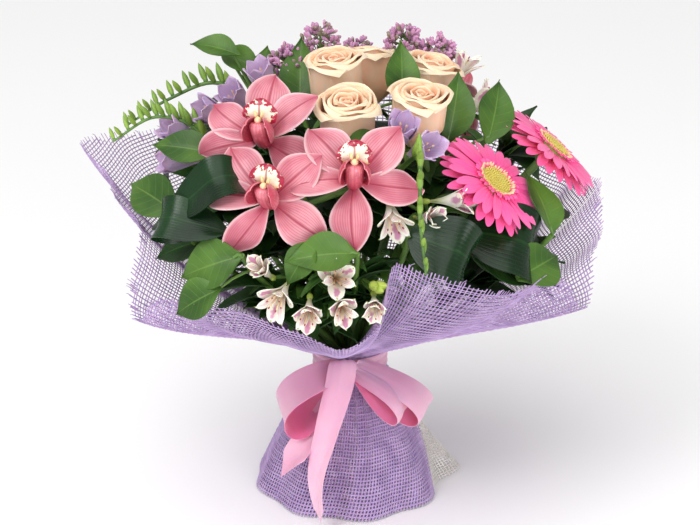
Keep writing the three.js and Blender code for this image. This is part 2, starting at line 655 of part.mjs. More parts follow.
// Lilac: a slim core that the buds stand out of
function lilacPanicle({ name, joint, tips }, seed) {
  const parts = [stem(name, 2)];
  const golden = 137.5;
  tips.forEach((tip, t) => {
    const [from, to] = [toPoint(joint), toPoint(tip)];
    const axis = to.clone().sub(from);
    const at = (share) => from.clone().addScaledVector(axis, share);
    parts.push(rod([at(0), at(0.42), at(0.6), at(0.95)], [1.8, 2, 4.4, 1.6], 4));
    const side = axis.clone().cross(point(1, 0.3, 0)).normalize();
    const along = axis.clone().normalize();
    const count = 7;
    for (let k = 0; k < count; k++) {
      const share = lerp(0.5, 0.97, k / (count - 1));
      const turn = rad(golden * k + 40 * (t + seed));
      const outwards = side.clone().applyAxisAngle(along, turn);
      const lean = outwards.addScaledVector(along, lerp(0.5, 2.4, k / count)).normalize();
      parts.push(bud(at(share), lean, lerp(17, 10, k / count), 2.8, 3));
    }
  });
  return fuse(parts);
}

// Alstroemerias
function floret({ at, aim }) {
  const rings = [[0, -30], [1.8, -30], [4.6, -13, 4, 3], [4.4, -10, 13, 10], [0, -17]];
  return lobed(rings, 6, 3, frameAt(at, aim));
}

function alstroemeriaSpray({ name, joint, florets, buds }) {
  const hub = toPoint(joint);
  const parts = [stem(name, 2)];
  florets.forEach(({ at, aim }) => {
    parts.push(floret({ at, aim }));
    const base = toPoint(at).addScaledVector(facing(aim), -28);
    parts.push(rod([hub, base], 1.6, 4));
  });
  buds.forEach((tip) => {
    const end = toPoint(tip);
    const along = end.clone().sub(hub);
    const reach = along.length();
    along.normalize();
    parts.push(rod([hub, end.clone().addScaledVector(along, -14)], 1.2, 3));
    parts.push(bud(end.clone().addScaledVector(along, -16), along, Math.min(18, reach), 3.6, 4));
  });
  [-60, 60].forEach((turn) => {
    const aim = outward(hub);
    const grid = blade({ length: 44, width: 11, root: 0.3, lean: 0.9, bend: [30, -50], rows: 2 });
    const frame = frameAt(hub.toArray(), [aim[0], 80], -90 + turn);
    parts.push(sheet(moved(grid, frame), 0.9));
  });
  return fuse(parts);
}

// Greenery
function broadLeaf({ at, aim, roll, size }) {
  const [length, width] = size;
  const grid = blade({ length, width, root: 0.1, lean: 0.78, full: 0.85, bend: [14, -16], cup: 0.16,
    wave: 1.2, rows: 4 });
  return sheet(moved(grid, frameAt(at, aim, roll).multiply(
    new THREE.Matrix4().makeTranslation(-length / 2, 0, 0))), 1);
}

// A point just inside the root of a leaf, where its stalk ends.
function insideRoot({ at, aim, roll, size }) {
  return point(6 - size[0] / 2, 0, 0.8).applyMatrix4(frameAt(at, aim, roll));
}

function salalSpray({ name, leaves }) {
  const parts = [stem(name, 2)];
  leaves.forEach((leaf, k) => {
    parts.push(broadLeaf(leaf));
    const from = k === 0 ? leafRoot(leaf) : alongStem(name, 0.84);
    parts.push(rod([from, insideRoot(leaf)], 1.3, 4));
  });
  return fuse(parts);
}

function aspidistraLeaf({ name, at, aim, roll, size }) {
  const [length, width] = size;
  const frame = frameAt(at, aim, roll);
  const grid = blade({ length, width, root: 0.2, lean: 0.9, full: 0.6, bend: [22, -175], late: 0.42,
    cup: 0.12, rows: 6 });
  const spine = point(5, 0, 1.5).applyMatrix4(frame);
  return fuse([stem(name, 2), sheet(moved(grid, frame), 1), rod([toPoint(at), spine], 2, 5)]);
}

// Wrap
function skirtRadius(z) {
  const top = WAIST_Z - WAIST_HALF;
  return lerp(WAIST_R, SKIRT_R, Math.max(0, (top - z) / top) ** 0.96);
}

function pleat(turn, share) {
  return 2.2 * share * Math.sin(9 * turn);
}

function netWrap() {
  const rim = new THREE.CatmullRomCurve3(RIM.map(toPoint), true, "centripetal");
  const grid = [];
  const skirtTop = WAIST_Z - WAIST_HALF;
  const collarFoot = WAIST_Z + WAIST_HALF;
  for (let i = 0; i < SKIRT_ROWS; i++) {
    const share = 1 - i / SKIRT_ROWS;
    const z = skirtTop * (1 - share);
    grid.push(Array.from({ length: WRAP_COLUMNS + 1 }, (_, j) => {
      const start = lerp(90, SLIT.to, share);
      const end = lerp(450, SLIT.from + 360, share);
      const turn = rad(lerp(start, end, j / WRAP_COLUMNS));
      const radius = skirtRadius(z) + pleat(turn, share);
      return point(radius * Math.sin(turn), -radius * Math.cos(turn), z);
    }));
  }
  const waistRow = (z) => Array.from({ length: WRAP_COLUMNS + 1 }, (_, j) => {
    const turn = rad(90 + (360 * (j % WRAP_COLUMNS)) / WRAP_COLUMNS);
    return point(WAIST_R * Math.sin(turn), -WAIST_R * Math.cos(turn), z);
  });
  grid.push(waistRow(skirtTop));
  const foot = waistRow(collarFoot);
  for (let i = 0; i <= COLLAR_ROWS; i++) {
    grid.push(foot.map((from, j) => {
      const top = rim.getPoint(((j + RIM_AT_RIGHT) / WRAP_COLUMNS) % 1);
      const lift = Math.max(top.z, 190) - collarFoot;
      const curve = new THREE.CubicBezierCurve3(
        from,
        from.clone().add(point(0.1 * top.x, 0.1 * top.y, 12)),
        point(0.74 * top.x, 0.74 * top.y, collarFoot + 0.42 * lift),
        top,
      );
      return curve.getPoint(i / COLLAR_ROWS);
    }));
  }
  return sheet(grid, CLOTH, { edge: CLOTH, closedFrom: SKIRT_ROWS });
}

function netLining() {
  const rows = 2;
  const columns = 24;
  const grid = Array.from({ length: rows + 1 }, (_, i) => {
    const share = 1 - i / rows;
    const z = LINING_TOP_Z * (1 - share);
    return Array.from({ length: columns + 1 }, (_unused, j) => {
      const turn = rad((360 * (j % columns)) / columns);
      const inset = lerp(1.7, 3.6, share);
      const middle = lerp(90, (SLIT.from + SLIT.to) / 2 + 8, share);
      const off = Math.abs(THREE.MathUtils.radToDeg(turn) - middle) / (20 * share + 1);
      const bulge = off < 1 ? LINING_BULGE * share * Math.cos((Math.PI / 2) * off) ** 2 : 0;
      const radius = skirtRadius(z) - inset + bulge + pleat(turn, share) * 0.6;
      return point(radius * Math.sin(turn), -radius * Math.cos(turn), z);
    });
  });
  return sheet(grid, CLOTH, { edge: CLOTH, closedFrom: 0 });
}

// A ribbon strip along a path, its width along a direction at each end.
function strip(path, width, across) {
  const points = new THREE.CatmullRomCurve3(path.map(toPoint)).getPoints(6);
  const side = across.map((list) => toPoint(list).normalize());
  const grid = points.map((p, i) => {
    const dir = side[0].clone().lerp(side[1], i / 6).normalize();
    return [-0.5, 0, 0.5].map((share) => p.clone().addScaledVector(dir, width * share));
  });
  return sheet(grid, 1.2, { edge: 1 });
}

function ribbonBow() {
  return fuse([
    band(27.1, 28.9, 98, 112, 14),
    turned([[0, -7.6], [8, -7.6], [9.5, 0], [7, 7], [0, 7.6]], 8, frameAt([-4, -35.5, 103], [0, 0])),
    strip([[-6, -37, 107], [-22, -56, 113], [-44, -72, 98], [-55, -80, 76], [-46, -84, 64], [-30, -73, 80],
      [-7, -41, 102]], 32, [[0.6, -0.5, -0.3], [0.8, -0.5, -0.4]]),
    strip([[-4, -37, 107], [20, -53, 113], [44, -60, 104], [57, -66, 84], [48, -70, 74], [27, -61, 88],
      [0, -41, 102]], 28, [[0.2, -0.7, -0.6], [0.55, -0.6, 0.5]]),
    strip([[-6, -40, 104], [-11, -57, 92], [-17, -70, 64], [-22, -82, 36], [-25, -90, 6]], 22,
      [[1, -0.3, 0], [1, -0.3, 0]]),
  ]);
}

function bindingTwine() {
  return band(20.9, 22.3, 99, 109, 16);
}

const pieces = [
  ["net_wrap", LOOKS.lilacNet, netWrap],
  ["net_lining", LOOKS.whiteNet, netLining],
  ["ribbon_bow", LOOKS.ribbon, ribbonBow],
  ["binding_twine", LOOKS.twine, bindingTwine],
  ...ROSES.map((rose) => [rose.name + "_stem", LOOKS.stem, () => roseStem(rose)]),
  ...GERBERAS.map((gerbera) => [gerbera.name + "_stem", LOOKS.stem, () => gerberaStem(gerbera)]),
  ...SPIKES.map((spike) => ["orchid_spike_" + spike.name, LOOKS.stem, () => orchidSpike(spike)]),
  ...ROSES.map((rose) => [rose.name + "_bloom", LOOKS.peach, () => roseBloom(rose)]),
  ...ORCHIDS.map((orchid) => [orchid.name + "_lip", LOOKS.lip, () => orchidLip(orchid)]),
  ...ORCHIDS.map((orchid) => [orchid.name + "_tepals", LOOKS.orchid, () => orchidTepals(orchid)]),
  ...GERBERAS.map((gerbera) => [gerbera.name + "_disc", LOOKS.disc, () => gerberaDisc(gerbera)]),
  ...GERBERAS.map((gerbera) => [gerbera.name + "_rays", LOOKS.hotPink, () => gerberaRays(gerbera)]),
  ...FREESIAS.map((spray) => [spray.name + "_spray", LOOKS.mauve, () => freesiaSpray(spray)]),
  ...ALSTROEMERIAS.map((spray) => [spray.name + "_spray", LOOKS.cream, () => alstroemeriaSpray(spray)]),
  ...LILACS.map((panicle, k) => [panicle.name + "_panicle", LOOKS.lilac, () => lilacPanicle(panicle, k)]),
  ...SALALS.map((spray) => [spray.name + "_spray", LOOKS.leaf, () => salalSpray(spray)]),
  ...ASPIDISTRAS.map((leaf) => [leaf.name + "_leaf", LOOKS.darkLeaf, () => aspidistraLeaf(leaf)]),
];

const boxesMeet = (a, b) => [0, 1, 2].every((k) => a.min[k] < b.max[k] && b.min[k] < a.max[k]);

// Each piece gives way to those before it in the list: it is cut clear of them by the gap.
const bouquet = new THREE.Group();
bouquet.name = "mixed_flower_bouquet";
const settled = [];
for (const [name, look, make] of pieces) {
  margin = GAP;
  const clearance = make();
  margin = 0;
  const whole = make();
  const near = settled.filter(({ box }) => boxesMeet(box, whole.boundingBox()));
  let body = whole;
  near.forEach((other) => {
    body = body.subtract(other.clearance);
  });
  body = largest(body.asOriginal().simplify(SMOOTHING));
  settled.push({ clearance, box: clearance.boundingBox() });
  const mesh = body.getMesh();
  const geometry = new THREE.BufferGeometry();
  geometry.setAttribute("position", new THREE.BufferAttribute(Float32Array.from(mesh.vertProperties), 3));
  geometry.setIndex(new THREE.BufferAttribute(Uint32Array.from(mesh.triVerts), 1));
  geometry.computeVertexNormals();
  const piece = new THREE.Mesh(geometry, new THREE.MeshStandardMaterial({ ...look, metalness: 0 }));
  piece.name = name;
  bouquet.add(piece);
}

export default bouquet;
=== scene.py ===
# %% [markdown]
# # A mixed bouquet standing on its net wrap
#
# The real object is a hand-tied bouquet: roses, orchids, gerberas, freesias, lilac, alstroemerias and
# leaves, with the stems crossed in a spiral and bound at the waist. A woven net is gathered round the
# waist, so that it flares above into a collar and below into the skirt that the bouquet stands on.
# Every piece starts from the solid model, which is loaded first and fixes each place and size.

# %% Load the solid model
import itertools
import math
import bpy
import numpy as np
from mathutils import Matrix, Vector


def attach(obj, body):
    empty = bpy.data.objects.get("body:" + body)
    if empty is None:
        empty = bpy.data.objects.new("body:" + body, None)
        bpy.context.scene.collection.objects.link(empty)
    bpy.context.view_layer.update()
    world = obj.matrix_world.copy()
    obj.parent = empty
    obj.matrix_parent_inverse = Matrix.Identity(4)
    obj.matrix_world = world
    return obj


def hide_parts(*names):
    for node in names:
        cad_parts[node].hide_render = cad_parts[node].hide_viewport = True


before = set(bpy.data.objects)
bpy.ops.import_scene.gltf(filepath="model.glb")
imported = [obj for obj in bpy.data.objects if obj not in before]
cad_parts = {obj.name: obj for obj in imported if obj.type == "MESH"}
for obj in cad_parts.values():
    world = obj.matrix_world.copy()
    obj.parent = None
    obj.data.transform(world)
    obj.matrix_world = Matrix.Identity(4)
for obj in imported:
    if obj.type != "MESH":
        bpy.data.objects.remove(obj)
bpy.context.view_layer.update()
scene = bpy.context.scene
MM = 0.001  # this file thinks in millimetres, Blender's meshes are in metres
print("solid nodes:", len(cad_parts))

# %% [markdown]
# ## Places
#
# A flower is placed by the point where its face is and by the way it looks out: an azimuth, which is 0
# to the front and 90 to the right, and an elevation. A 4 by 4 matrix then carries the flower's own axes:
# X to the right of a viewer whom it faces, Y up and Z out. This is the same rule as in the solid model,
# so the petals land where the plain solids are. Each petal could also be parented to an empty object at
# its flower's place, but a matrix leaves nothing behind in the scene.

# %% Matrices for places
def facing(aim):
    azimuth, elevation = np.radians(aim)
    level = math.cos(elevation)
    return np.array([level * math.sin(azimuth), -level * math.cos(azimuth), math.sin(elevation)])


def turn_z(degrees):
    c, s = math.cos(math.radians(degrees)), math.sin(math.radians(degrees))
    return np.array([[c, -s, 0, 0], [s, c, 0, 0], [0, 0, 1, 0], [0, 0, 0, 1.0]])


def turn_x(degrees):
    c, s = math.cos(math.radians(degrees)), math.sin(math.radians(degrees))
    return np.array([[1, 0, 0, 0], [0, c, -s, 0], [0, s, c, 0], [0, 0, 0, 1.0]])


def shift(x, y, z):
    place = np.eye(4)
    place[:3, 3] = (x, y, z)
    return place


def frame_at(at, aim, roll=0):
    out = facing(aim)
    azimuth = math.radians(aim[0])
    right = np.array([math.cos(azimuth), math.sin(azimuth), 0])
    place = np.eye(4)
    place[:3, 0], place[:3, 1], place[:3, 2], place[:3, 3] = right, np.cross(out, right), out, at
    return place @ turn_z(roll)


def spoke(place, angle, radius, height):
    return place @ turn_z(angle) @ shift(radius, 0, height)


def carried(place, point):
    return place[:3, :3] @ np.asarray(point, float) + place[:3, 3]


def unit(vector):
    return vector / np.linalg.norm(vector)


print("a flower with azimuth 90 looks along", facing([90, 0]).round(2))

# %% [markdown]
# A smooth curve through given points is used for arched stems, the rim of the net and the ribbon. A
# curve object would draw one too, but a function can be asked for any point of it. The centripetal rule
# spaces the points by the root of their distance, which keeps the curve from looping at tight corners.

# %% Smooth curves
def smooth_curve(points, shares, closed=False):
    knots = np.asarray(points, float)
    count = len(knots)
    if not closed:
        knots = np.vstack([2 * knots[0] - knots[1], knots, 2 * knots[-1] - knots[-2]])
    place = np.asarray(shares, float) * (count if closed else count - 1)
    index = np.floor(place).astype(int)
    if not closed:
        index = np.clip(index, 0, count - 2)
    w = (place - index)[:, None]
    pick = (lambda k: knots[(index + k - 1) % count]) if closed else (lambda k: knots[index + k])
    a, b, c, d = (pick(k) for k in range(4))
    gaps = [np.maximum(np.linalg.norm(q - p, axis=1, keepdims=True) ** 0.5, 1e-4)
            for p, q in ((a, b), (b, c), (c, d))]
    t1 = ((b - a) / gaps[0] - (c - a) / (gaps[0] + gaps[1]) + (c - b) / gaps[1]) * gaps[1]
    t2 = ((c - b) / gaps[1] - (d - b) / (gaps[1] + gaps[2]) + (d - c) / gaps[2]) * gaps[1]
    return b + t1 * w + (3 * (c - b) - 2 * t1 - t2) * w**2 + (2 * (b - c) + t1 + t2) * w**3


print("a corner is rounded to", smooth_curve([[0, 0], [1, 0], [1, 1]], [0.4])[0].round(2))

# %% [markdown]
# ## Shapes
#
# A shape holds points in millimetres, faces, and two marks for each point: how far along it is, from
# root to tip, and how far across. The marks become the UV map, so veins and blushes follow the petal.
# A shape is modelled once and then placed as many times as the flower needs it.

# %% The shape, and how it is read back from a modelled object
class Shape:
    def __init__(self, points, corners, sizes, marks, sides=None):
        self.points = np.asarray(points, float)
        self.corners = np.asarray(corners, int)
        self.sizes = np.asarray(sizes, int)
        self.marks = np.asarray(marks, float)
        self.sides = np.zeros(len(self.sizes), int) if sides is None else np.asarray(sides, int)

    def placed(self, place, size=1.0):
        points = (self.points * size) @ place[:3, :3].T + place[:3, 3]
        return Shape(points, self.corners, self.sizes, self.marks, self.sides)


def taken(obj):
    """The object's mesh as a shape; the object itself is then removed."""
    mesh = obj.data
    points = np.empty(len(mesh.vertices) * 3)
    mesh.vertices.foreach_get("co", points)
    corners = np.empty(len(mesh.loops), int)
    mesh.loops.foreach_get("vertex_index", corners)
    sizes = np.empty(len(mesh.polygons), int)
    mesh.polygons.foreach_get("loop_total", sizes)
    sides = np.empty(len(mesh.polygons), int)
    mesh.polygons.foreach_get("material_index", sides)
    uv = np.empty(len(mesh.loops) * 2)
    mesh.uv_layers.active.data.foreach_get("uv", uv)
    marks = np.zeros((len(mesh.vertices), 2))
    marks[corners] = uv.reshape(-1, 2)
    bpy.data.objects.remove(obj)
    bpy.data.meshes.remove(mesh)
    return Shape(points.reshape(-1, 3), corners, sizes, marks, sides)


# %% [markdown]
# Petals and leaves are thin sheets. Each could be pulled into shape by hand, but a bouquet has hundreds
# of them, so the form is a formula. The grid primitive is added, its points are moved to the petal's
# form, points that meet at the tip are merged, and Solidify gives the sheet its thickness. Solidify
# also numbers the lower face, so that a petal can be paler or darker on its back.

# %% A thin sheet: grid, form, merge, thickness
MERGE_WITHIN = 0.02  # points of a sheet that are nearer than this become one


def sheet_shape(rows, cols, form, thickness, tip=1.4):
    """form takes the share along and the side from -1 to 1, and gives the points. A tip above 1 draws
    the rows closer together there, where the outline bends most."""
    bpy.ops.object.select_all(action="DESELECT")
    bpy.ops.mesh.primitive_grid_add(x_subdivisions=rows, y_subdivisions=cols, size=1)
    obj = bpy.context.object
    mesh = obj.data
    flat = np.empty(len(mesh.vertices) * 3)
    mesh.vertices.foreach_get("co", flat)
    flat = flat.reshape(-1, 3)
    along = 1 - np.clip(0.5 - flat[:, 0], 0, 1) ** tip
    side = 2 * flat[:, 1]
    mesh.vertices.foreach_set("co", form(along, side).ravel())
    corners = np.empty(len(mesh.loops), int)
    mesh.loops.foreach_get("vertex_index", corners)
    marks = np.stack([along, (side + 1) / 2], 1)
    mesh.uv_layers.active.data.foreach_set("uv", marks[corners].ravel())
    mesh.materials.append(None)
    mesh.materials.append(None)
    bpy.ops.object.mode_set(mode="EDIT")
    bpy.ops.mesh.select_all(action="SELECT")
    bpy.ops.mesh.remove_doubles(threshold=MERGE_WITHIN)
    bpy.ops.object.mode_set(mode="OBJECT")
    wall = obj.modifiers.new("wall", "SOLIDIFY")
    wall.thickness = thickness
    wall.offset = 0
    wall.material_offset = 1
    bpy.ops.object.modifier_apply(modifier="wall")
    return taken(obj)


# %% [markdown]
# Most petals and all leaves are blades: a spine that bends from root to tip, with an outline on either
# side of it. The outline is a sine, whose widest place moves with lean and whose ends fill out with a
# low full. Across it, cup and crease lift the sides, wave ruffles them and grooves run from end to end.

# %% The form of a petal or leaf
TOOTH_PACE = 46  # radians of the toothed edge's wave from root to tip


def blade_form(length, width, root=0.15, lean=0.8, full=0.8, bend=(0, 0), late=0.0, cup=0.0, wave=0.0,
               crease=0.0, teeth=0.0, grooves=0.0, waves=3, twist=0.0, seed=0):
    """Starts at the origin and runs out along X. bend is its slope at the start and the end."""
    def slope(s):
        return np.radians(bend[0] + (bend[1] - bend[0]) * np.clip((s - late) / (1 - late), 0, 1))

    steps = np.linspace(0, 1, 97)
    middle = (steps[1:] + steps[:-1]) / 2
    pace = length / len(middle)
    spine_x = np.concatenate([[0], np.cumsum(np.cos(slope(middle))) * pace])
    spine_z = np.concatenate([[0], np.cumsum(np.sin(slope(middle))) * pace])

    def form(s, side):
        outline = np.where(s >= 1, 0, np.sin(np.pi * np.clip(s, 0, 1) ** lean).clip(0) ** full)
        half = width / 2 * np.maximum(outline, root * (1 - s))
        half = half * (1 + teeth * np.abs(side) * np.sin(TOOTH_PACE * s))
        swing = np.sin(np.pi * waves * s + 2.1 * side + 1.7 * seed)
        lift = cup * half * side**2 + wave * np.abs(side) * swing
        lift = lift + half * (crease * np.abs(side) + twist * side * s)
        lift = lift + grooves * np.cos(3 * np.pi * side) * (1 - s**4)
        angle = slope(s)
        return np.stack([np.interp(s, steps, spine_x) - np.sin(angle) * lift, half * side,
                         np.interp(s, steps, spine_z) + np.cos(angle) * lift], 1)

    return form


def blade(rows, cols, thickness, tip=1.4, **form):
    return sheet_shape(rows, cols, blade_form(**form), thickness, tip)


# %% [markdown]
# Stems, buds and discs are round. A stem is a tube along a path, and a bud is a short tube that swells
# and closes. Curve objects with a round bevel would do, but the bouquet has thousands of buds and yarns,
# so a ring of points is swept along the path instead, which takes a moment.

# %% Round shapes: rings swept along a path
POINT_R = 0.02  # a pointed end is a ring this small


def ring_shape(rings, marks_along):
    """Closed body through rings of points; the first and last rings are capped."""
    count, sides = rings.shape[:2]
    a = np.arange((count - 1) * sides)
    b = a // sides * sides + (a + 1) % sides
    quads = np.stack([a, b, b + sides, a + sides], 1)
    caps = [np.arange(sides)[::-1], np.arange(sides) + (count - 1) * sides]
    corners = np.concatenate([quads.ravel(), *caps])
    sizes = np.concatenate([np.full(len(quads), 4), [sides, sides]])
    turn = np.abs(2 * np.arange(sides) / sides - 1)
    marks = np.stack([np.repeat(marks_along, sides), np.tile(turn, count)], 1)
    return Shape(rings.reshape(-1, 3), corners, sizes, marks)


def tube(path, radii, sides=8):
    path = np.asarray(path, float)
    radii = np.broadcast_to(radii, len(path))
    tangents = np.gradient(path, axis=0)
    across = np.array([1.0, 0, 0]) if abs(unit(tangents[0])[2]) > 0.8 else np.array([0, 0, 1.0])
    turns = 2 * np.pi * np.arange(sides) / sides
    rings = []
    for centre, tangent, radius in zip(path, tangents, radii):
        along = unit(tangent)
        across = unit(across - across.dot(along) * along)
        other = np.cross(along, across)
        rings.append(centre + radius * (np.outer(np.cos(turns), across) + np.outer(np.sin(turns), other)))
    return ring_shape(np.array(rings), np.linspace(0, 1, len(path)))


def turned(profile, sides, place):
    """Profile points are [radius, height] along the place's Z."""
    profile = np.asarray(profile, float)
    turns = 2 * np.pi * np.arange(sides) / sides
    ring = np.stack([np.cos(turns), np.sin(turns)], 1)
    rings = np.array([np.column_stack([ring * max(r, POINT_R), np.full(sides, h)]) for r, h in profile])
    return ring_shape(rings, np.linspace(0, 1, len(profile))).placed(place)


BUD_SWELL = [(0, 0.3), (0.12, 0.62), (0.35, 1), (0.62, 0.92), (0.85, 0.5), (1, 0.05)]


def bud(start, along, length, radius, sides=6, swell=BUD_SWELL):
    along = unit(np.asarray(along, float))
    path = [np.asarray(start, float) + along * length * share for share, _ in swell]
    return tube(path, [radius * size for _, size in swell], sides)


# %% [markdown]
# ## Pieces
#
# Each solid node gets one piece that stands for it: the placed shapes joined into one mesh. Join would
# do it for a few objects, but a lilac head has hundreds of buds, so the lists of points and faces are
# strung together first. The piece keeps the UV map of marks, and for each point a number called tint,
# which makes one petal differ from the next.

# %% Joining shapes into a piece
SHARP_EDGE = 50  # edges that turn by more degrees than this stay sharp
totals = {"triangles": 0}


def part(shape, look, tint, back=None):
    """A shape with its look, its tint, and the look of its back where that differs."""
    return shape, look, look if back is None else back, tint


def make_piece(name, parts, replaces):
    looks = list(dict.fromkeys(look for _, face, back, _ in parts for look in (face, back)))
    points, corners, starts, marks, tints, materials = [], [], [], [], [], []
    first_point = first_corner = 0
    for shape, face, back, tint in parts:
        points.append(shape.points)
        corners.append(shape.corners + first_point)
        starts.append(first_corner + np.concatenate([[0], np.cumsum(shape.sizes)[:-1]]))
        marks.append(shape.marks[shape.corners])
        tints.append(np.full(len(shape.points), tint))
        materials.append(np.where(shape.sides == 1, looks.index(back), looks.index(face)))
        first_point += len(shape.points)
        first_corner += len(shape.corners)
    corners, starts = np.concatenate(corners), np.concatenate(starts)
    mesh = bpy.data.meshes.new(name)
    mesh.vertices.add(first_point)
    mesh.vertices.foreach_set("co", (np.concatenate(points) * MM).ravel())
    mesh.loops.add(first_corner)
    mesh.loops.foreach_set("vertex_index", corners)
    mesh.polygons.add(len(starts))
    mesh.polygons.foreach_set("loop_start", starts)
    mesh.polygons.foreach_set("material_index", np.concatenate(materials))
    mesh.polygons.foreach_set("use_smooth", np.ones(len(starts), bool))
    mesh.update(calc_edges=True)
    mesh.uv_layers.new(name="marks").data.foreach_set("uv", np.concatenate(marks).ravel())
    mesh.attributes.new("tint", "FLOAT", "POINT").data.foreach_set("value", np.concatenate(tints))
    mesh.validate()
    for look in looks:
        mesh.materials.append(look)
    piece = bpy.data.objects.new(name, mesh)
    scene.collection.objects.link(piece)
    bpy.ops.object.select_all(action="DESELECT")
    piece.select_set(True)
    bpy.context.view_layer.objects.active = piece
    bpy.ops.object.shade_smooth_by_angle(angle=math.radians(SHARP_EDGE))
    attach(piece, "root")
    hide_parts(*replaces)
    triangles = first_corner - 2 * len(starts)
    totals["triangles"] += triangles
    print(f"{name}: {triangles} triangles")
    return piece


# %% [markdown]
# ## Finishes
#
# Petals, leaves, net and satin each get a procedural material. Painted images could give veins too, but
# nodes that read the marks from root to tip fit every petal without painting one. A small class keeps
# the node trees short: every call adds one node and gives back its output. Values that are the same all
# over are set on the shader itself.

# %% A small helper for node trees
def paint(code):
    """Colour of a hex code, as the linear values that Blender uses."""
    parts = [int(code[k:k + 2], 16) / 255 for k in (1, 3, 5)]
    return (*(c / 12.92 if c <= 0.04045 else ((c + 0.055) / 1.055) ** 2.4 for c in parts), 1)


class Look:
    def __init__(self, name, **sockets):
        self.material = bpy.data.materials.new(name)
        self.material.use_nodes = True
        self.tree = self.material.node_tree
        self.surface = self.tree.nodes["Principled BSDF"]
        for socket, value in sockets.items():
            self.surface.inputs[socket.replace("_", " ")].default_value = value

    def add(self, kind, values=(), output=0, **settings):
        node = self.tree.nodes.new(kind)
        for key, value in settings.items():
            setattr(node, key, value)
        for socket, value in (values.items() if isinstance(values, dict) else enumerate(values)):
            self.put(node.inputs[socket], value)
        return node.outputs[output]

    def put(self, socket, value):
        if isinstance(value, bpy.types.NodeSocket):
            self.tree.links.new(value, socket)
        else:
            socket.default_value = value

    def set(self, socket, value):
        self.put(self.surface.inputs[socket], value)

    def sum(self, kind, *values):
        return self.add("ShaderNodeMath", values, operation=kind)

    def mix(self, share, a, b):
        return self.add("ShaderNodeMix", {0: share, 6: a, 7: b}, output=2, data_type="RGBA")

    def band(self, value, low, high, start=0.0, end=1.0):
        values = {"Value": value, "From Min": low, "From Max": high, "To Min": start, "To Max": end}
        return self.add("ShaderNodeMapRange", values, interpolation_type="SMOOTHSTEP")

    def marks(self):
        uv = self.add("ShaderNodeUVMap", uv_map="marks")
        split = self.add("ShaderNodeSeparateXYZ", [uv]).node
        return split.outputs[0], split.outputs[1]

    def off_middle(self, across):
        """0 on the midrib and 1 at the edges."""
        return self.sum("MULTIPLY", self.sum("ABSOLUTE", self.sum("SUBTRACT", across, 0.5)), 2.0)

    def tint(self):
        return self.add("ShaderNodeAttribute", output=2, attribute_name="tint")

    def noise(self, scale, detail=2.0, stretch=(1, 1, 1)):
        place = self.add("ShaderNodeTexCoord", output=3)
        mapped = self.add("ShaderNodeMapping", {"Vector": place, "Scale": stretch})
        return self.add("ShaderNodeTexNoise", {"Vector": mapped, "Scale": scale, "Detail": detail})

    def streaks(self, along, across, count, wander=0.02):
        """Fine lines that run from root to tip."""
        bent = self.sum("MULTIPLY", self.noise(60), wander)
        line = self.sum("SINE", self.sum("MULTIPLY", self.sum("ADD", across, bent), count * 2 * math.pi))
        return self.band(line, 0.2, 1.0)

    def bump(self, height, strength, depth_mm):
        values = {"Strength": strength, "Distance": depth_mm * MM, "Height": height}
        self.set("Normal", self.add("ShaderNodeBump", values))


# %% [markdown]
# Living tissue lets some light in, which is why petals glow a little at their edges. Transmission would
# show what lies behind them, so subsurface light with a radius of a millimetre or two is used instead.
# On a petal this thin a larger radius would take the red out of it. Noise at the size of a fingertip
# keeps each petal from being one flat colour.

# %% Rose petals: peach, with creamy rims and a warmer heart
def rose_look(name, outer, heart, rim):
    look = Look(name, Roughness=0.5, Sheen_Weight=0.1, Sheen_Roughness=0.5, Subsurface_Weight=0.25,
                Subsurface_Scale=0.0015)
    along, across = look.marks()
    off = look.off_middle(across)
    deep = look.mix(look.tint(), paint(outer), paint(heart))
    flush = look.mix(look.band(along, 0.75, 0.25), deep, paint("#fcc6a0"))
    shade = look.mix(look.band(look.noise(120), 0.35, 0.7), flush, look.mix(0.35, flush, paint(rim)))
    lip = look.sum("MAXIMUM", look.band(along, 0.66, 0.95), look.band(off, 0.82, 1.0, 0.0, 0.6))
    look.set("Base Color", look.mix(look.sum("MULTIPLY", lip, 0.8), shade, paint(rim)))
    look.bump(look.streaks(along, across, 26), 0.12, 0.1)
    return look.material


ROSE_FRONT = rose_look("rose_petal_inside", "#f6d0ac", "#f4aa82", "#f7e2c4")
ROSE_BACK = rose_look("rose_petal_outside", "#f9d0b2", "#f8c2a2", "#f8dcc0")

# %% [markdown]
# An orchid's tepal is waxy and veined from root to tip. The veins follow the mark across the tepal, and
# a mask makes them fade where the real ones do, before the pale edge. The lip's blotches come from noise
# that is raised along the margin, so they crowd there, as a lip's spots do.

# %% Orchid tepals: dusty pink, with dark midribs, fine veins and pale edges
def orchid_look():
    look = Look("orchid_tepal", Roughness=0.42, Sheen_Weight=0.1, Subsurface_Weight=0.2,
                Subsurface_Scale=0.003)
    along, across = look.marks()
    off = look.off_middle(across)
    veins = look.sum("MULTIPLY", look.streaks(along, across, 17), look.band(off, 1.0, 0.75))
    blush = look.sum("MAXIMUM", look.band(along, 0.6, 0.0), look.band(along, 0.62, 1.0, 0.0, 0.8))
    pale = look.mix(look.band(look.noise(70), 0.3, 0.75), paint("#dd98a2"), paint("#c97686"))
    body = look.mix(look.sum("MULTIPLY", blush, look.band(off, 0.95, 0.2)), pale, paint("#ad3450"))
    deeper = look.mix(look.sum("MULTIPLY", look.tint(), 0.4), body, paint("#b8506a"))
    veined = look.mix(look.sum("MULTIPLY", veins, 0.42), deeper, paint("#a52c4a"))
    ribbed = look.mix(look.band(off, 0.09, 0.0, 0.0, 0.85), veined, paint("#98183a"))
    edge = look.sum("MULTIPLY", look.band(off, 0.82, 1.0), 0.75)
    look.set("Base Color", look.mix(edge, ribbed, paint("#e9c3c6")))
    look.bump(look.sum("SUBTRACT", 1.0, veins), 0.2, 0.2)
    return look.material


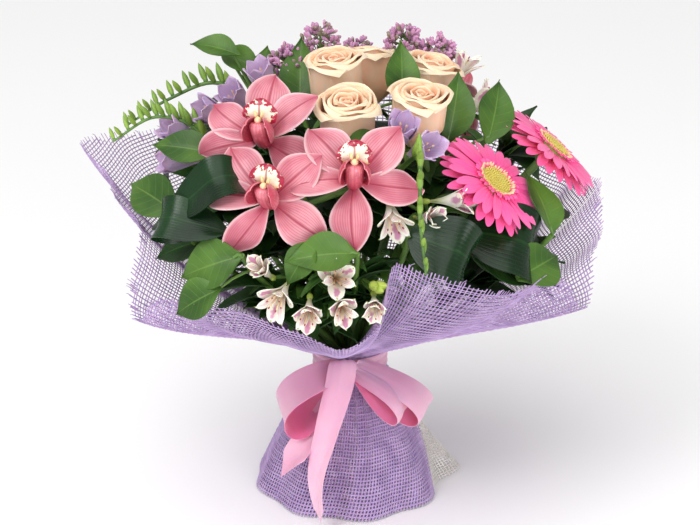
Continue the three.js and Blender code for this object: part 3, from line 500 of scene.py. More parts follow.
# %% Orchid lip: cream, with crimson blotches along its margin and yellow ridges
def lip_look():
    look = Look("orchid_lip", Roughness=0.35, Subsurface_Weight=0.2, Subsurface_Scale=0.002)
    along, across = look.marks()
    off = look.off_middle(across)
    cream = look.mix(look.band(along, 0.5, 0.15), paint("#f2e4cf"), paint("#ecc467"))
    margin = look.sum("MAXIMUM", look.band(off, 0.45, 0.95), look.band(along, 0.68, 0.96))
    spots = look.sum("ADD", look.noise(420), look.sum("MULTIPLY", margin, 0.36))
    blotched = look.mix(look.band(spots, 0.68, 0.76), cream, paint("#a5183c"))
    stripe = look.sum("MULTIPLY", look.band(off, 0.09, 0.04), look.band(along, 0.3, 0.4, 0.0, 0.7))
    look.set("Base Color", look.mix(stripe, blotched, paint("#8e0f30")))
    look.bump(look.noise(260), 0.3, 0.3)
    return look.material


# %% The orchid's column and side lobes: deep pink with crimson flecks
def throat_look(name, deep, light):
    look = Look(name, Roughness=0.3, Coat_Weight=0.2, Subsurface_Weight=0.2, Subsurface_Scale=0.002)
    along, across = look.marks()
    blend = look.mix(look.band(along, 0.2, 0.95), paint(deep), paint(light))
    flecks = look.band(look.noise(300, 3.0), 0.52, 0.62)
    veins = look.sum("MULTIPLY", look.streaks(along, across, 9), 0.4)
    marked = look.sum("MAXIMUM", look.sum("MULTIPLY", flecks, 0.4), veins)
    look.set("Base Color", look.mix(marked, blend, paint("#a31638")))
    look.bump(look.noise(400), 0.15, 0.2)
    return look.material


ORCHID_TEPAL = orchid_look()
ORCHID_LIP = lip_look()
THROAT_RED = throat_look("orchid_column", "#c44a5e", "#df8490")
THROAT_PINK = throat_look("orchid_side_lobe", "#dc8f98", "#c0485c")
THROAT_DARK = throat_look("orchid_inside", "#7d2036", "#a83a50")

# %% [markdown]
# A gerbera's ray is hot pink all over, a little paler at its root and tip. Its finest lines are
# left to the bump, where they catch the light. The disc's florets are so small that one blend from
# foot to tip is enough.

# %% Gerbera rays and florets
def ray_look():
    look = Look("gerbera_ray", Roughness=0.45, Sheen_Weight=0.2, Subsurface_Weight=0.15,
                Subsurface_Scale=0.002)
    along, across = look.marks()
    base = look.mix(look.tint(), paint("#f8408f"), paint("#ff559f"))
    tip = look.mix(look.sum("MULTIPLY", look.band(along, 0.35, 1.0), 0.6), base, paint("#ff72b4"))
    root = look.mix(look.band(along, 0.25, 0.0), tip, paint("#f79ab4"))
    lines = look.sum("MULTIPLY", look.streaks(along, across, 5), 0.2)
    look.set("Base Color", look.mix(lines, root, paint("#e02878")))
    look.bump(look.streaks(along, across, 5), 0.25, 0.2)
    return look.material


def floret_look(name, foot, tip):
    look = Look(name, Roughness=0.6, Subsurface_Weight=0.15, Subsurface_Scale=0.001)
    along, _ = look.marks()
    base = look.mix(look.band(along, 0.3, 0.95), paint(foot), paint(tip))
    look.set("Base Color", look.mix(look.sum("MULTIPLY", look.tint(), 0.5), base, paint(tip)))
    look.bump(look.noise(500), 0.2, 0.1)
    return look.material


GERBERA_RAY = ray_look()
DISC_FLORET = floret_look("gerbera_disc_floret", "#b0a848", "#dcc968")
RING_FLORET = floret_look("gerbera_ring_floret", "#eea0a4", "#efd6a0")

# %% [markdown]
# Freesia funnels and lilac buds share one recipe with other colours: pale or reddish in the throat, mauve
# on the body, deeper at the veins. The tint drives the blend, so no two buds of a lilac head are alike.

# %% Small mauve flowers: freesia funnels and lilac buds
def mauve_look(name, throat, body, edge, roughness):
    look = Look(name, Roughness=roughness, Sheen_Weight=0.2, Subsurface_Weight=0.25,
                Subsurface_Scale=0.002)
    along, across = look.marks()
    base = look.mix(look.band(along, 0.08, 0.42), paint(throat), paint(body))
    varied = look.mix(look.sum("MULTIPLY", look.tint(), 0.6), base, look.mix(0.6, base, paint(edge)))
    veins = look.sum("MULTIPLY", look.streaks(along, across, 8), 0.25)
    look.set("Base Color", look.mix(veins, varied, paint(edge)))
    look.bump(look.streaks(along, across, 8), 0.25, 0.15)
    return look.material


FREESIA_IN = mauve_look("freesia_inside", "#ebe3ea", "#d2bada", "#b697c8", 0.42)
FREESIA_OUT = mauve_look("freesia_outside", "#dcd6bc", "#cdb2d8", "#b394c6", 0.42)
LILAC_BUD = mauve_look("lilac_bud", "#94627c", "#c288b0", "#d8a8cb", 0.6)
LILAC_GREEN = floret_look("lilac_green_bud", "#6c7444", "#a08a86")

# %% [markdown]
# An alstroemeria has a magenta blotch high on its broad tepals, and dark dashes on its narrow ones. Both
# are masks: a band along the tepal times a band or lines across it, with noise to fray their outline.

# %% Alstroemeria tepals: white, with magenta blotches, streaks and green tips
def alstroemeria_look(name, blotch, streak):
    look = Look(name, Roughness=0.4, Subsurface_Weight=0.25, Subsurface_Scale=0.002)
    along, across = look.marks()
    off = look.off_middle(across)
    white = look.mix(look.band(along, 0.5, 0.1), paint("#f3ecdf"), paint("#b4bd7c"))
    patch = look.sum("MULTIPLY", look.band(along, 0.45, 0.6), look.band(along, 0.97, 0.8))
    patch = look.sum("MULTIPLY", patch, look.band(look.sum("ADD", off, look.noise(200)), 1.0, 0.7))
    flushed = look.mix(look.sum("MULTIPLY", patch, blotch), white, paint("#bb5f9c"))
    point = look.sum("MULTIPLY", look.band(along, 0.9, 1.0), look.band(off, 0.7, 0.2))
    tipped = look.mix(point, flushed, paint("#8fae4e"))
    lines = look.sum("MULTIPLY", look.streaks(along, across, 6), look.band(along, 0.85, 0.55))
    look.set("Base Color", look.mix(look.sum("MULTIPLY", lines, streak), tipped, paint("#7c2145")))
    look.bump(look.streaks(along, across, 8), 0.2, 0.15)
    return look.material


ALSTRO_OUTER = alstroemeria_look("alstroemeria_outer", 0.8, 0.0)
ALSTRO_INNER = alstroemeria_look("alstroemeria_inner", 0.3, 0.5)

# %% [markdown]
# Leaves differ most in how they shine: salal is soft, aspidistra is glossy, so its grooves show as thin
# bright lines. Colour alone would leave the veins flat, so they go into the bump as well.

# %% Leaves and stems
def leaf_look(name, light, dark, vein, roughness, veins, parallel=False):
    """Veins either branch from the midrib in pairs, or run side by side from root to tip."""
    look = Look(name, Roughness=roughness, Specular_IOR_Level=0.3, Subsurface_Weight=0.08,
                Subsurface_Scale=0.001)
    along, across = look.marks()
    off = look.off_middle(across)
    patchy = look.mix(look.band(look.noise(35), 0.3, 0.7), paint(dark), paint(light))
    tinted = look.mix(look.sum("MULTIPLY", look.tint(), 0.55), patchy, paint(dark))
    if parallel:
        lines = look.streaks(along, across, veins, 0.004)
    else:
        swept = look.sum("SUBTRACT", along, look.sum("MULTIPLY", off, 0.16))
        wave = look.sum("SINE", look.sum("MULTIPLY", swept, veins * 2 * math.pi))
        lines = look.band(wave, 0.88, 1.0)
    rib = look.band(off, 0.06, 0.015)
    veined = look.mix(look.sum("MULTIPLY", lines, 0.1), tinted, paint(vein))
    look.set("Base Color", look.mix(look.sum("MULTIPLY", rib, 0.35), veined, paint(vein)))
    depth = -0.3 if parallel else -0.6
    height = look.sum("ADD", look.sum("MULTIPLY", look.sum("MAXIMUM", lines, rib), depth), look.noise(140))
    look.bump(height, 0.35, 0.4)
    return look.material


SALAL = leaf_look("salal_leaf", "#567a2e", "#31521d", "#7c9a4c", 0.42, 8)
SALAL_BACK = leaf_look("salal_leaf_back", "#6f8c4c", "#527036", "#93aa6a", 0.55, 8)
# The leaves deep in the bouquet: a darker green than the salal, which is painted shade
SHADED_INNER_LEAF = leaf_look("inner_leaf_painted_shade", "#2f5220", "#1b3a15", "#4c7334", 0.42, 8)
ASPIDISTRA = leaf_look("aspidistra_leaf", "#17371a", "#0b200e", "#264d22", 0.26, 16, True)
NARROW_LEAF = leaf_look("narrow_leaf", "#567f34", "#365f24", "#7f9f50", 0.4, 7, True)


def stem_look(name, light, dark):
    look = Look(name, Roughness=0.45, Subsurface_Weight=0.08, Subsurface_Scale=0.001)
    along, across = look.marks()
    patchy = look.mix(look.band(look.noise(50), 0.3, 0.7), paint(light), paint(dark))
    look.set("Base Color", look.mix(look.sum("MULTIPLY", look.tint(), 0.6), patchy, paint(light)))
    look.bump(look.streaks(along, across, 6), 0.2, 0.2)
    return look.material


STEM = stem_look("green_stem", "#64883c", "#43692c")
BUD_GREEN = stem_look("green_bud", "#8bab43", "#5f8530")
BUD_LIME = stem_look("lime_bud", "#b3c659", "#8aa83e")
print("materials:", len(bpy.data.materials))

# %% [markdown]
# ## Where everything is
#
# Flowers and leaves stand where the solid model has them. A place could be read from a solid's box, but
# a box doesn't say which way a flower faces, so places and aims are written down. A few leaves and one
# floret were moved by some millimetres, so that nothing pokes through a petal.

# %% Where the roses, orchids and gerberas are
# A rose has the middle of its face, its aim and its roll. An orchid has its middle, its aim, the ways of
# its five tepals, the way of its lip and its flower spike.
ROSES = {
    "rose_front": ([-2, -62, 319], [0, 62], 0), "rose_right": ([51, -45, 320], [20, 66], 40),
    "rose_top": ([-13, 0, 335], [-30, 72], 80), "rose_top_right": ([17, 47, 330], [160, 70], 10),
    "rose_far_right": ([64, 18, 328], [70, 66], 60), "rose_back": ([-33, 92, 312], [195, 50], 20)}
ORCHIDS = {
    "orchid_upper": ([-60, -75, 299], [-12, 30], [88, 40, 150, 195, 335], 90, "front"),
    "orchid_lower": ([-55, -110, 266], [-15, 22], [135, 45, 182, 236, 330], 82, "front"),
    "orchid_middle": ([3, -112, 281], [0, 28], [130, 50, 187, -8, 270], 90, "front"),
    "orchid_back_right": ([78, 96, 284], [140, 40], [130, 50, 187, -8, 270], 90, "back")}
SPIKES = {"front": ([-30, -78, 252], [-20, 60]), "back": ([40, 92, 248], [160, 60])}
GERBERAS = {"gerbera_front": ([101, -70, 266], [62, 50]), "gerbera_right": ([148, -8, 273], [86, 50]),
            "gerbera_back": ([-72, 108, 270], [212, 45])}

# %% Where the sprays are
# A freesia has its open funnels, each with a place and an aim, and then the arch of its stem. A lilac
# has the place where it branches and then the tips of its panicles.
FREESIAS = {
    "freesia_left": ([([-130, -34, 272], [-70, 4]), ([-128, -20, 291], [-65, 38])],
                     [[-88, -24, 262], [-112, -22, 292], [-140, -20, 299], [-171, -20, 281]]),
    "freesia_upper_left": ([([-85, -10, 313], [-45, 50]), ([-104, -20, 304], [-62, 26]),
                            ([-66, 14, 324], [-40, 66])],
                           [[-62, 4, 288], [-96, 4, 318], [-131, 2, 307], [-164, 5, 286]]),
    "freesia_middle": ([([36, -77, 308], [10, 50]), ([54, -88, 297], [30, 26])],
                       [[34, -62, 272], [46, -106, 293], [46, -142, 262], [50, -152, 228]])}
LILACS = {"lilac_left": ([-26, 36, 296], [[-22, 62, 345], [-52, 42, 330]]),
          "lilac_right": ([40, 56, 292], [[42, 76, 340], [72, 60, 334]]),
          "lilac_back": ([4, 94, 276], [[6, 126, 318]])}
# An alstroemeria has the place where it branches, its open florets and its buds.
ALSTROEMERIAS = {
    "alstroemeria_right": ([72, 26, 276], [([88, 46, 324], [100, 62]), ([104, 30, 304], [88, 40]),
                                           ([84, 6, 300], [60, 60])], []),
    "alstroemeria_middle": ([54, -78, 244], [([78, -98, 262], [50, -4]), ([57, -116, 256], [15, 10]),
                                             ([30, -124, 252], [-5, -20])], []),
    "alstroemeria_left": ([-30, -84, 200], [([-62, -130, 226], [-30, 22]), ([-50, -144, 205], [-12, 0]),
                                            ([-28, -147, 196], [8, -4])], []),
    "alstroemeria_front": ([2, -94, 208], [([-8, -137, 220], [-6, 34]), ([-4, -148, 200], [-6, 2]),
                                           ([16, -146, 200], [14, 2])], [[22, -136, 210]])}

# %% Where the leaves are
# Each leaf has its middle, its aim, its roll, and its length and width.
SALALS = {
    "salal_top_left": [([-66, 42, 318], [-20, 40], 100, [52, 27]),
                       ([-100, 30, 337], [-10, 55], 165, [42, 22]),
                       ([-79, 34, 325], [-5, 40], -28, [40, 22])],
    "salal_top": [([-37, 22, 322], [-10, 25], 95, [58, 30]), ([37, -4, 327], [10, 30], 85, [52, 26])],
    "salal_top_right": [([74, -22, 308], [15, 20], 75, [54, 28]),
                        ([105, -15, 303], [20, 25], 66, [52, 30])],
    "salal_left": [([-117, -50, 284], [-15, 40], 176, [50, 26]),
                   ([-139, -62, 252], [-35, 45], 165, [58, 32])],
    "salal_lower_left": [([-96, -121, 223], [-20, 30], 203, [50, 36]),
                         ([-103, -129, 200], [-36, 26], 218, [42, 30])],
    "salal_front": [([-20, -132, 233], [0, 45], 186, [50, 28]),
                    ([-34, -133, 229], [-10, 26], 239, [36, 22])],
    "salal_right": [([134, -54, 246], [60, 45], 60, [56, 36]),
                    ([131, -93, 212], [35, 38], 12, [46, 34])],
    "salal_back_right": [([104, 62, 268], [120, 50], 90, [56, 38]),
                         ([66, 122, 262], [150, 50], 100, [52, 36]),
                         ([124, 30, 282], [100, 50], 70, [46, 28])],
    "salal_back_left": [([-108, 84, 258], [228, 50], 90, [54, 36]),
                        ([-26, 128, 264], [190, 50], 90, [48, 32]),
                        ([-128, 20, 272], [262, 50], 90, [46, 30]),
                        ([-98, 54, 290], [240, 60], 90, [46, 30])]}
ASPIDISTRAS = {
    "aspidistra_left": ([-122, -92, 250], [-30, 40], 38, [88, 36]),
    "aspidistra_lower_left": ([-84, -112, 244], [-32, 45], 186, [84, 32]),
    "aspidistra_middle": ([40, -118, 244], [10, 30], -28, [70, 46]),
    "aspidistra_right": ([76, -92, 239], [30, 38], -32, [88, 56]),
    "aspidistra_back": ([22, 98, 240], [170, 58], 90, [76, 46])}
ROSE_LEAF = ([12, -72, 292], [5, 40], 12, [36, 22])
print("flowers, sprays and leaves:", sum(map(len, (ROSES, ORCHIDS, GERBERAS, FREESIAS, LILACS,
                                                   ALSTROEMERIAS, SALALS, ASPIDISTRAS))))

# %% [markdown]
# ## Stems
#
# The stems of a hand-tied bouquet cross in a spiral: they stand close at the tie and open out above and
# below it. Their places at the tie come from pushing apart any two that are nearer than one stem's
# width, starting from where each flower leans, which is how a florist's hand finds room for them.

# %% Where each stem ends
WAIST_Z, WAIST_HALF = 105, 8
STEM_R, STEM_PITCH, BUNDLE_R = 2.6, 5.6, 20.4
FOOT_SPREAD, FOOT_TWIST = 1.3, 35
ROSE_DEPTH, GERBERA_DEPTH = 42, 7  # from a flower's face down to the top of its stem
SPRAY_RISE, LEAF_RISE = 62, 70     # how steeply the stems of sprays and folded leaves come up


def seat(at, aim, back):
    return np.array(at, float) - facing(aim) * back


def outward(end):
    return [math.degrees(math.atan2(end[0], -end[1])), SPRAY_RISE]


def leaf_root(leaf):
    at, aim, roll, size = leaf
    return carried(frame_at(at, aim, roll), [-size[0] / 2, 0, 0])


stem_ends = {name: (seat(at, aim, ROSE_DEPTH), aim) for name, (at, aim, _) in ROSES.items()}
stem_ends |= {"spike_" + name: (np.array(end, float), aim) for name, (end, aim) in SPIKES.items()}
stem_ends |= {name: (seat(at, aim, GERBERA_DEPTH), aim) for name, (at, aim) in GERBERAS.items()}
spray_ends = {name: spike[0] for name, (_, spike) in FREESIAS.items()}
spray_ends |= {name: spray[0] for name, spray in (LILACS | ALSTROEMERIAS).items()}
spray_ends |= {name: leaf_root(leaves[0]) for name, leaves in SALALS.items()}
stem_ends |= {name: (np.array(end, float), outward(end)) for name, end in spray_ends.items()}
stem_ends |= {name: (np.array(at, float), [aim[0], LEAF_RISE])
              for name, (at, aim, _, _) in ASPIDISTRAS.items()}
print("stems:", len(stem_ends))

# %% The spiral of stems
SETTLING_ROUNDS = 600
START_APART = 0.01  # a nudge for each stem, so that no two start in the same place


def bundle_places():
    ends = np.array([end[:2] for end, _ in stem_ends.values()])
    room = BUNDLE_R - STEM_R
    places = ends * room / np.linalg.norm(ends, axis=1).max()
    places[:, 0] += START_APART * np.arange(len(places))
    middle = list(stem_ends).index("rose_top")
    for _ in range(SETTLING_ROUNDS):
        for i in range(len(places)):
            for j in range(i + 1, len(places)):
                dx, dy = places[j] - places[i]
                apart = math.hypot(dx, dy)
                if apart < STEM_PITCH:
                    push = np.array([dx, dy]) * (STEM_PITCH - apart) / apart / 2
                    places[i] -= push
                    places[j] += push
        reach = np.linalg.norm(places, axis=1, keepdims=True)
        places *= np.minimum(1, room / np.maximum(reach, 1e-9))
        places[middle] = 0
    return dict(zip(stem_ends, places))


PLACES = bundle_places()


def stem_path(name):
    """A spiral from the table to the tie, and a smooth arch from there to the flower."""
    place = PLACES[name]
    end, aim = stem_ends[name]
    path = []
    for share in np.linspace(0, 0.8, 5):
        drop = (1 - share) ** 2
        foot = turn_z(FOOT_TWIST * drop)[:2, :2] @ place * (1 + FOOT_SPREAD * drop)
        path.append([*foot, WAIST_Z * share])
    path.append([*place, WAIST_Z - WAIST_HALF])
    free = np.array([*place, WAIST_Z + WAIST_HALF])
    way = end - free
    pulls = [free, free + 0.35 * way + [0, 0, 0.06 * way[2]],
             end - facing(aim) * 0.16 * np.linalg.norm(way), end]
    for t in np.linspace(0, 1, 9):
        weights = [(1 - t) ** 3, 3 * t * (1 - t) ** 2, 3 * t * t * (1 - t), t**3]
        path.append(sum(w * p for w, p in zip(weights, pulls)))
    return np.array(path)


def stem(name, top=STEM_R):
    path = stem_path(name)
    return tube(path, np.where(path[:, 2] < WAIST_Z + WAIST_HALF, STEM_R, top), 8)


def along_stem(name, share):
    """A point of the stem's free part, at a share of the way from the tie to the flower."""
    path = stem_path(name)
    return smooth_curve(path[path[:, 2] >= WAIST_Z], [share])[0]


rng = np.random.default_rng(7)  # every random draw comes from here, so each run is the same
farthest = max(np.linalg.norm(place) for place in PLACES.values())
print("farthest stem from the middle of the tie:", farthest.round(1), "mm")

# %% [markdown]
# ## Roses
#
# A rose is a spiral of cupped petals. The inner ones stand upright and wrap tightly round the heart, the
# outer ones open, and their rims roll outward, which catches the light as a cream edge. A bloom could be
# one twisted surface, but single petals overlap and cast shadows on one another, which makes it a rose.
# A cupped petal is a sheet wrapped round a radius: its knots give radius, height and half width from
# root to rim.

# %% The form of a cupped petal
PEAK_WIDTH = 0.22  # of half the petal, for the soft point in the middle of its rim


def cup_form(knots, wrap=1.0, tilt=0.0, drop=0.0, peak=0.0, ripple=0.0, seed=0):
    def form(s, side):
        radius, height, half = smooth_curve(knots, s).T
        reach = np.maximum(radius * wrap, 0.6)
        angle = half * side / reach
        x = radius - reach * (1 - np.cos(angle)) + tilt * side * s
        x = x + ripple * np.sin(3.1 * side + 5 * s + 2 * seed) * s**2
        z = height - drop * side**2 * s**2 + peak * np.exp(-(side / PEAK_WIDTH) ** 2) * s**6
        return np.stack([x, reach * np.sin(angle), z], 1)

    return form


def rose_petal(radius, height, half, curl, lean, tilt, seed):
    """curl is how far the rim rolls over, lean how far the petal opens at the top."""
    low = radius * 0.55
    knots = [(low * 0.5 + 0.6, 2, half * 0.3), (low + 2, 9, half * 0.62),
             (radius, height * 0.38, half * 0.92), (radius + 0.2 * lean, height * 0.68, half),
             (radius + lean, height - 2.5, half * 0.95),
             (radius + lean + curl * 0.6, height + curl * 0.12, half * 0.86),
             (radius + lean + curl * 1.3, height - curl * 0.6, half * 0.72)]
    form = cup_form(knots, 1.0, tilt, 0.09 * height, 0.9 + 0.25 * curl, 0.25 + 0.09 * curl, seed)
    return sheet_shape(12, 12, form, 0.7, 1.5)


# %% Model the petals of each ring once, then wind them into blooms
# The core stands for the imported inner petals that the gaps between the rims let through.
# Each ring: count, radius, height, half width, curl, lean, tilt, first angle, tint
ROSE_RINGS = [(3, 2.2, 42.5, 4.6, 0.3, -0.6, 1.2, 0, 1.0), (3, 4.4, 44, 9, 0.6, -0.6, 1.8, 40, 0.95),
              (3, 7.2, 45, 15, 1.0, -0.2, 2.4, 15, 0.8), (3, 10.6, 45, 21, 1.8, 0.6, 3.0, 70, 0.6),
              (4, 14.6, 45, 23, 1.9, 1.0, 3.6, 20, 0.3), (3, 18.5, 43.5, 30, 2.7, 0.8, 3.6, 56, 0.0)]
ROSE_CORE = [(0, 2), (7, 3), (15, 14), (17.5, 26), (15, 32), (10, 36), (5, 38.5), (0, 39.5)]
rose_rings = [[rose_petal(*form, seed) for seed in range(2)] for _, *form, _, _ in ROSE_RINGS]
ROSE_PIVOT = 22  # the bloom turns upright about a point this far below its face
MORE_UPRIGHT, STEEPEST = 9, 80


def share_of(value):
    return min(1, max(0, value))


def rose_bloom(name):
    at, aim, roll = ROSES[name]
    upright = [aim[0], min(aim[1] + MORE_UPRIGHT, STEEPEST)]
    base = seat(at, aim, ROSE_PIVOT) - facing(upright) * (ROSE_DEPTH - ROSE_PIVOT)
    place = frame_at(base, upright, roll)
    parts = [part(turned(ROSE_CORE, 24, place), ROSE_FRONT, 1.0)]
    for (count, *_, first, tint), petals in zip(ROSE_RINGS, rose_rings):
        for k in range(count):
            angle = first + 360 * k / count + rng.uniform(-6, 6)
            petal = petals[k % 2].placed(place @ turn_z(angle) @ shift(0, 0, rng.uniform(-0.8, 0.8)))
            parts.append(part(petal, ROSE_FRONT, share_of(tint + rng.uniform(-0.15, 0.15)), ROSE_BACK))
    make_piece(name + "_petals", parts, [name + "_bloom"])


# %% [markdown]
# Under the bloom sit a round green cup and five sepals that hang open. The stem below it carries leaves,
# which are grown further on, once the room for them is known.

# %% The green of a rose
SEPALS = 5
ROSE_CUP = [(0, -8), (3, -7.5), (5, -5), (5.4, -2), (4, 1), (0, 2)]
STALK_R = 1.1  # of the short stalk between a stem and its leaf
sepal = blade(8, 4, 0.5, length=26, width=8, root=0.6, lean=0.7, full=0.8, bend=(18, -40), cup=0.2)


def rose_stem(name):
    at, aim, roll = ROSES[name]
    place = frame_at(seat(at, aim, ROSE_DEPTH), aim, roll)
    parts = [part(stem(name), STEM, rng.random()), part(turned(ROSE_CUP, 10, place), STEM, 0.3)]
    for k in range(SEPALS):
        turn = 360 / SEPALS * k + 20
        parts.append(part(sepal.placed(spoke(place, turn, 3.5, -1)), SALAL, rng.random()))
    if name == "rose_front":
        stalk = tube([along_stem(name, 0.86), leaf_root(ROSE_LEAF)], STALK_R, 6)
        parts += [part(leaf_copy(ROSE_LEAF), SALAL, 0.2, SALAL_BACK), part(stalk, STEM, 0.5)]
    parts += [part(leaf, SHADED_INNER_LEAF, rng.random())
              for leaf in fillers(name, small_leaves, ROSE_FILLERS, (0.45, 0.95))]
    make_piece(name + "_green", parts, [name + "_stem"])


print("rose petals modelled:", sum(map(len, rose_rings)))

# %% [markdown]
# ## The room inside the net
#
# The net flares from the waist to a wavy rim, whose corners droop on the left and on the right. A cloth
# simulation can't gather an open net in the time at hand, so its form is drawn: every warp is a Bezier
# curve that leaves the waist upright and bends out to its own point of the rim. The form is worked out
# here, before the leaves, because no leaf may poke through it.

# %% The form of the net's collar
RIM = [[-5, -155, 176], [19, -146, 188], [30, -140, 229], [54, -149, 226], [87, -141, 213], [111, -127, 205],
       [135, -102, 207], [153, -84, 194], [168, -68, 170], [176, -50, 203], [183, -28, 222], [182, -12, 246],
       [172, 22, 238], [164, 66, 232], [146, 108, 240], [108, 144, 262], [54, 166, 274], [0, 172, 264],
       [-54, 166, 276], [-104, 142, 262], [-152, 104, 254], [-178, 52, 264], [-197, 4, 272],
       [-178, -14, 254], [-165, -36, 238], [-147, -62, 228], [-152, -84, 205], [-148, -102, 174],
       [-134, -112, 194], [-112, -124, 196], [-74, -141, 197], [-36, -152, 187]]
RIM_AT_RIGHT = 11     # the rim's point that is nearest to the right
LOWEST_RISE_TO = 190  # warps rise as if the rim were at least this high, so drooping corners fold over
WAIST_R, SKIRT_R = 25.6, 74
COLLAR_FOOT, SKIRT_TOP = 113, 97
GATHERS = 35


def around(degrees, radius, z):
    turn = np.radians(degrees)
    return np.stack([radius * np.sin(turn), -radius * np.cos(turn), z + 0 * turn], -1)


def collar_bezier(u, w):
    top = smooth_curve(RIM, (u.ravel() + RIM_AT_RIGHT / len(RIM)) % 1, closed=True).reshape(*u.shape, 3)
    foot = around(90 + 360 * u, WAIST_R, COLLAR_FOOT)
    lift = np.maximum(top[..., 2:], LOWEST_RISE_TO) - COLLAR_FOOT
    second = foot + np.concatenate([0.1 * top[..., :2], 12 + 0 * lift], -1)
    third = np.concatenate([0.74 * top[..., :2], COLLAR_FOOT + 0.42 * lift], -1)
    w = w[..., None]
    return (1 - w)**3 * foot + 3 * w * (1 - w)**2 * second + 3 * w * w * (1 - w) * third + w**3 * top


# %% Spots on the net and the way inward at each, for keeping leaves inside it
ROOM_U, ROOM_W = np.meshgrid(np.linspace(0, 1, 91), np.linspace(0.05, 1, 22))
net_spots = collar_bezier(ROOM_U, ROOM_W)
net_inward = np.cross(collar_bezier(ROOM_U + 0.004, ROOM_W) - net_spots,
                      collar_bezier(ROOM_U, ROOM_W - 0.01) - net_spots)
net_inward *= np.sign(net_inward[..., 2:])
net_inward = (net_inward / np.linalg.norm(net_inward, axis=2, keepdims=True)).reshape(-1, 3)
net_spots = net_spots.reshape(-1, 3)


def inside_net(points, gap=5):
    nearest = ((points[:, None] - net_spots) ** 2).sum(2).argmin(1)
    return ((points - net_spots[nearest]) * net_inward[nearest]).sum(1).min() > gap


print("spots on the net:", len(net_spots))

# %% [markdown]
# ## Broad leaves
#
# Salal leaves are pointed ovals with a fine toothed edge, folded slightly along the midrib. A picture of
# a leaf on a flat card would be lighter, but its edge would stay flat and catch no light. Three leaves
# are modelled, and each leaf of the bouquet is one of these, stretched to its own length and width.

# %% Broad leaves
LEAF_LENGTH, LEAF_WIDTH = 50, 30
LEAF_FORMS = [dict(bend=(12, -16), waves=1.6, twist=0.2), dict(bend=(20, -26), waves=2.2, twist=-0.25),
              dict(bend=(4, -24), waves=2.7, twist=0.1)]


def broad_leaf(rows, cols, seed):
    return blade(rows, cols, 0.6, 1.5, length=LEAF_LENGTH, width=LEAF_WIDTH, root=0.1, lean=0.8, full=1.3,
                 cup=0.08, crease=0.24, wave=1.2, teeth=0.01, seed=seed, **LEAF_FORMS[seed])


# The large leaves are handed out in turn, the second one first.
leaves_in_turn = itertools.cycle([broad_leaf(20, 8, seed) for seed in (1, 2, 0)])
small_leaves = [broad_leaf(12, 6, seed) for seed in range(3)]
ROSE_FILLERS, SALAL_FILLERS, ALSTROEMERIA_FILLERS = 16, 24, 18


def leaf_copy(leaf):
    at, aim, roll, (length, width) = leaf
    stretch = np.diag([length / LEAF_LENGTH, width / LEAF_WIDTH, 1, 1])
    return next(leaves_in_turn).placed(frame_at(at, aim, roll) @ shift(-length / 2, 0, 0) @ stretch)


def salal_spray(name):
    parts = [part(stem(name, 2), STEM, 0.6)]
    for k, leaf in enumerate(SALALS[name]):
        parts.append(part(leaf_copy(leaf), SALAL, rng.random(), SALAL_BACK))
        start = leaf_root(leaf) if k == 0 else along_stem(name, 0.84)
        inner = carried(frame_at(*leaf[:3]), [6 - leaf[3][0] / 2, 0, 0.8])
        stalk = tube([start, (start + inner) / 2 + [0, 0, 1.5], inner], STALK_R, 6)
        parts.append(part(stalk, STEM, 0.6))
    parts += [part(leaf_copy(leaf), SHADED_INNER_LEAF, rng.random()) for leaf in SHADE_PAINTED_LEAVES.get(name, [])]
    parts += [part(leaf, SHADED_INNER_LEAF, rng.random())
              for leaf in fillers(name, small_leaves, SALAL_FILLERS, (0.4, 1.0))]
    make_piece(name + "_leaves", parts, [name + "_spray"])


# %% [markdown]
# Between the flowers of a real bouquet small leaves fill every gap, and they lie in shade. Here they are real
# leaves, but their darker green than the salal is painted shade. They could be scattered by a particle
# system, but then some would cut through petals. So each one is tried at a random place on a stem, and it is
# kept only where it meets no flower and stays inside the net. For that test a flower is a short cylinder
# round its own axis.

# %% The room that the flowers take, each as a place, an aim, a radius, and a height below and above
HEADS = [(at, aim, 29, -46, 40) for at, aim, _ in ROSES.values()]
HEADS += [(flower[0], flower[1], 50, -18, 45) for flower in ORCHIDS.values()]
HEADS += [(at, aim, 47, -14, 45) for at, aim in GERBERAS.values()]
HEADS += [(at, aim, 15, -36, 25) for funnels, _ in FREESIAS.values() for at, aim in funnels]
HEADS += [(at, aim, 16, -30, 25) for _, florets, _ in ALSTROEMERIAS.values() for at, aim in florets]
HEADS += [(tip, [0, 90], 20, -26, 20) for _, tips in LILACS.values() for tip in tips]
HEADS += [(at, aim, size[1] * 0.6, -8, 14) for leaves in SALALS.values() for at, aim, _, size in leaves]
HEADS += [(carried(frame_at(at, aim, roll), [0.35 * size[0], 0, 4]), aim, size[1] * 0.6, -26, 24)
          for at, aim, roll, size in ASPIDISTRAS.values()]

# %% Leaves that fill the gaps
WIDEST = 176      # how far from the middle a leaf may reach
TRIES = 30        # for each leaf that is wanted
TEST_EVERY = 7    # only every seventh point of a leaf is tested


def clear(points):
    for at, aim, radius, low, high in HEADS:
        away = points - np.array(at, float)
        height = away @ facing(aim)
        level = np.linalg.norm(away - height[:, None] * facing(aim), axis=1)
        if ((level < radius) & (height > low) & (height < high)).any():
            return False
    return inside_net(points) and np.linalg.norm(points[:, :2], axis=1).max() < WIDEST


def fillers(name, kinds, wanted, reach):
    """Leaves that point outward from the stem, with their upper face to the sky."""
    found = []
    for k in range(wanted * TRIES):
        start = along_stem(name, rng.uniform(*reach))
        heading = math.degrees(math.atan2(start[0], -start[1]))
        size = np.diag([rng.uniform(0.65, 1.2), rng.uniform(0.7, 1.15), 1, 1])
        rise = rng.uniform(-20, 60)
        aim = [heading + 180 + rng.uniform(-65, 65), 90 - rise]
        leaf = kinds[k % len(kinds)].placed(frame_at(start, aim, 90 + rng.uniform(-30, 30)) @ size)
        if clear(leaf.points[::TEST_EVERY]):
            found.append(leaf)
        if len(found) == wanted:
            break
    print(f"{name}: {len(found)} leaves in the gaps")
    return found
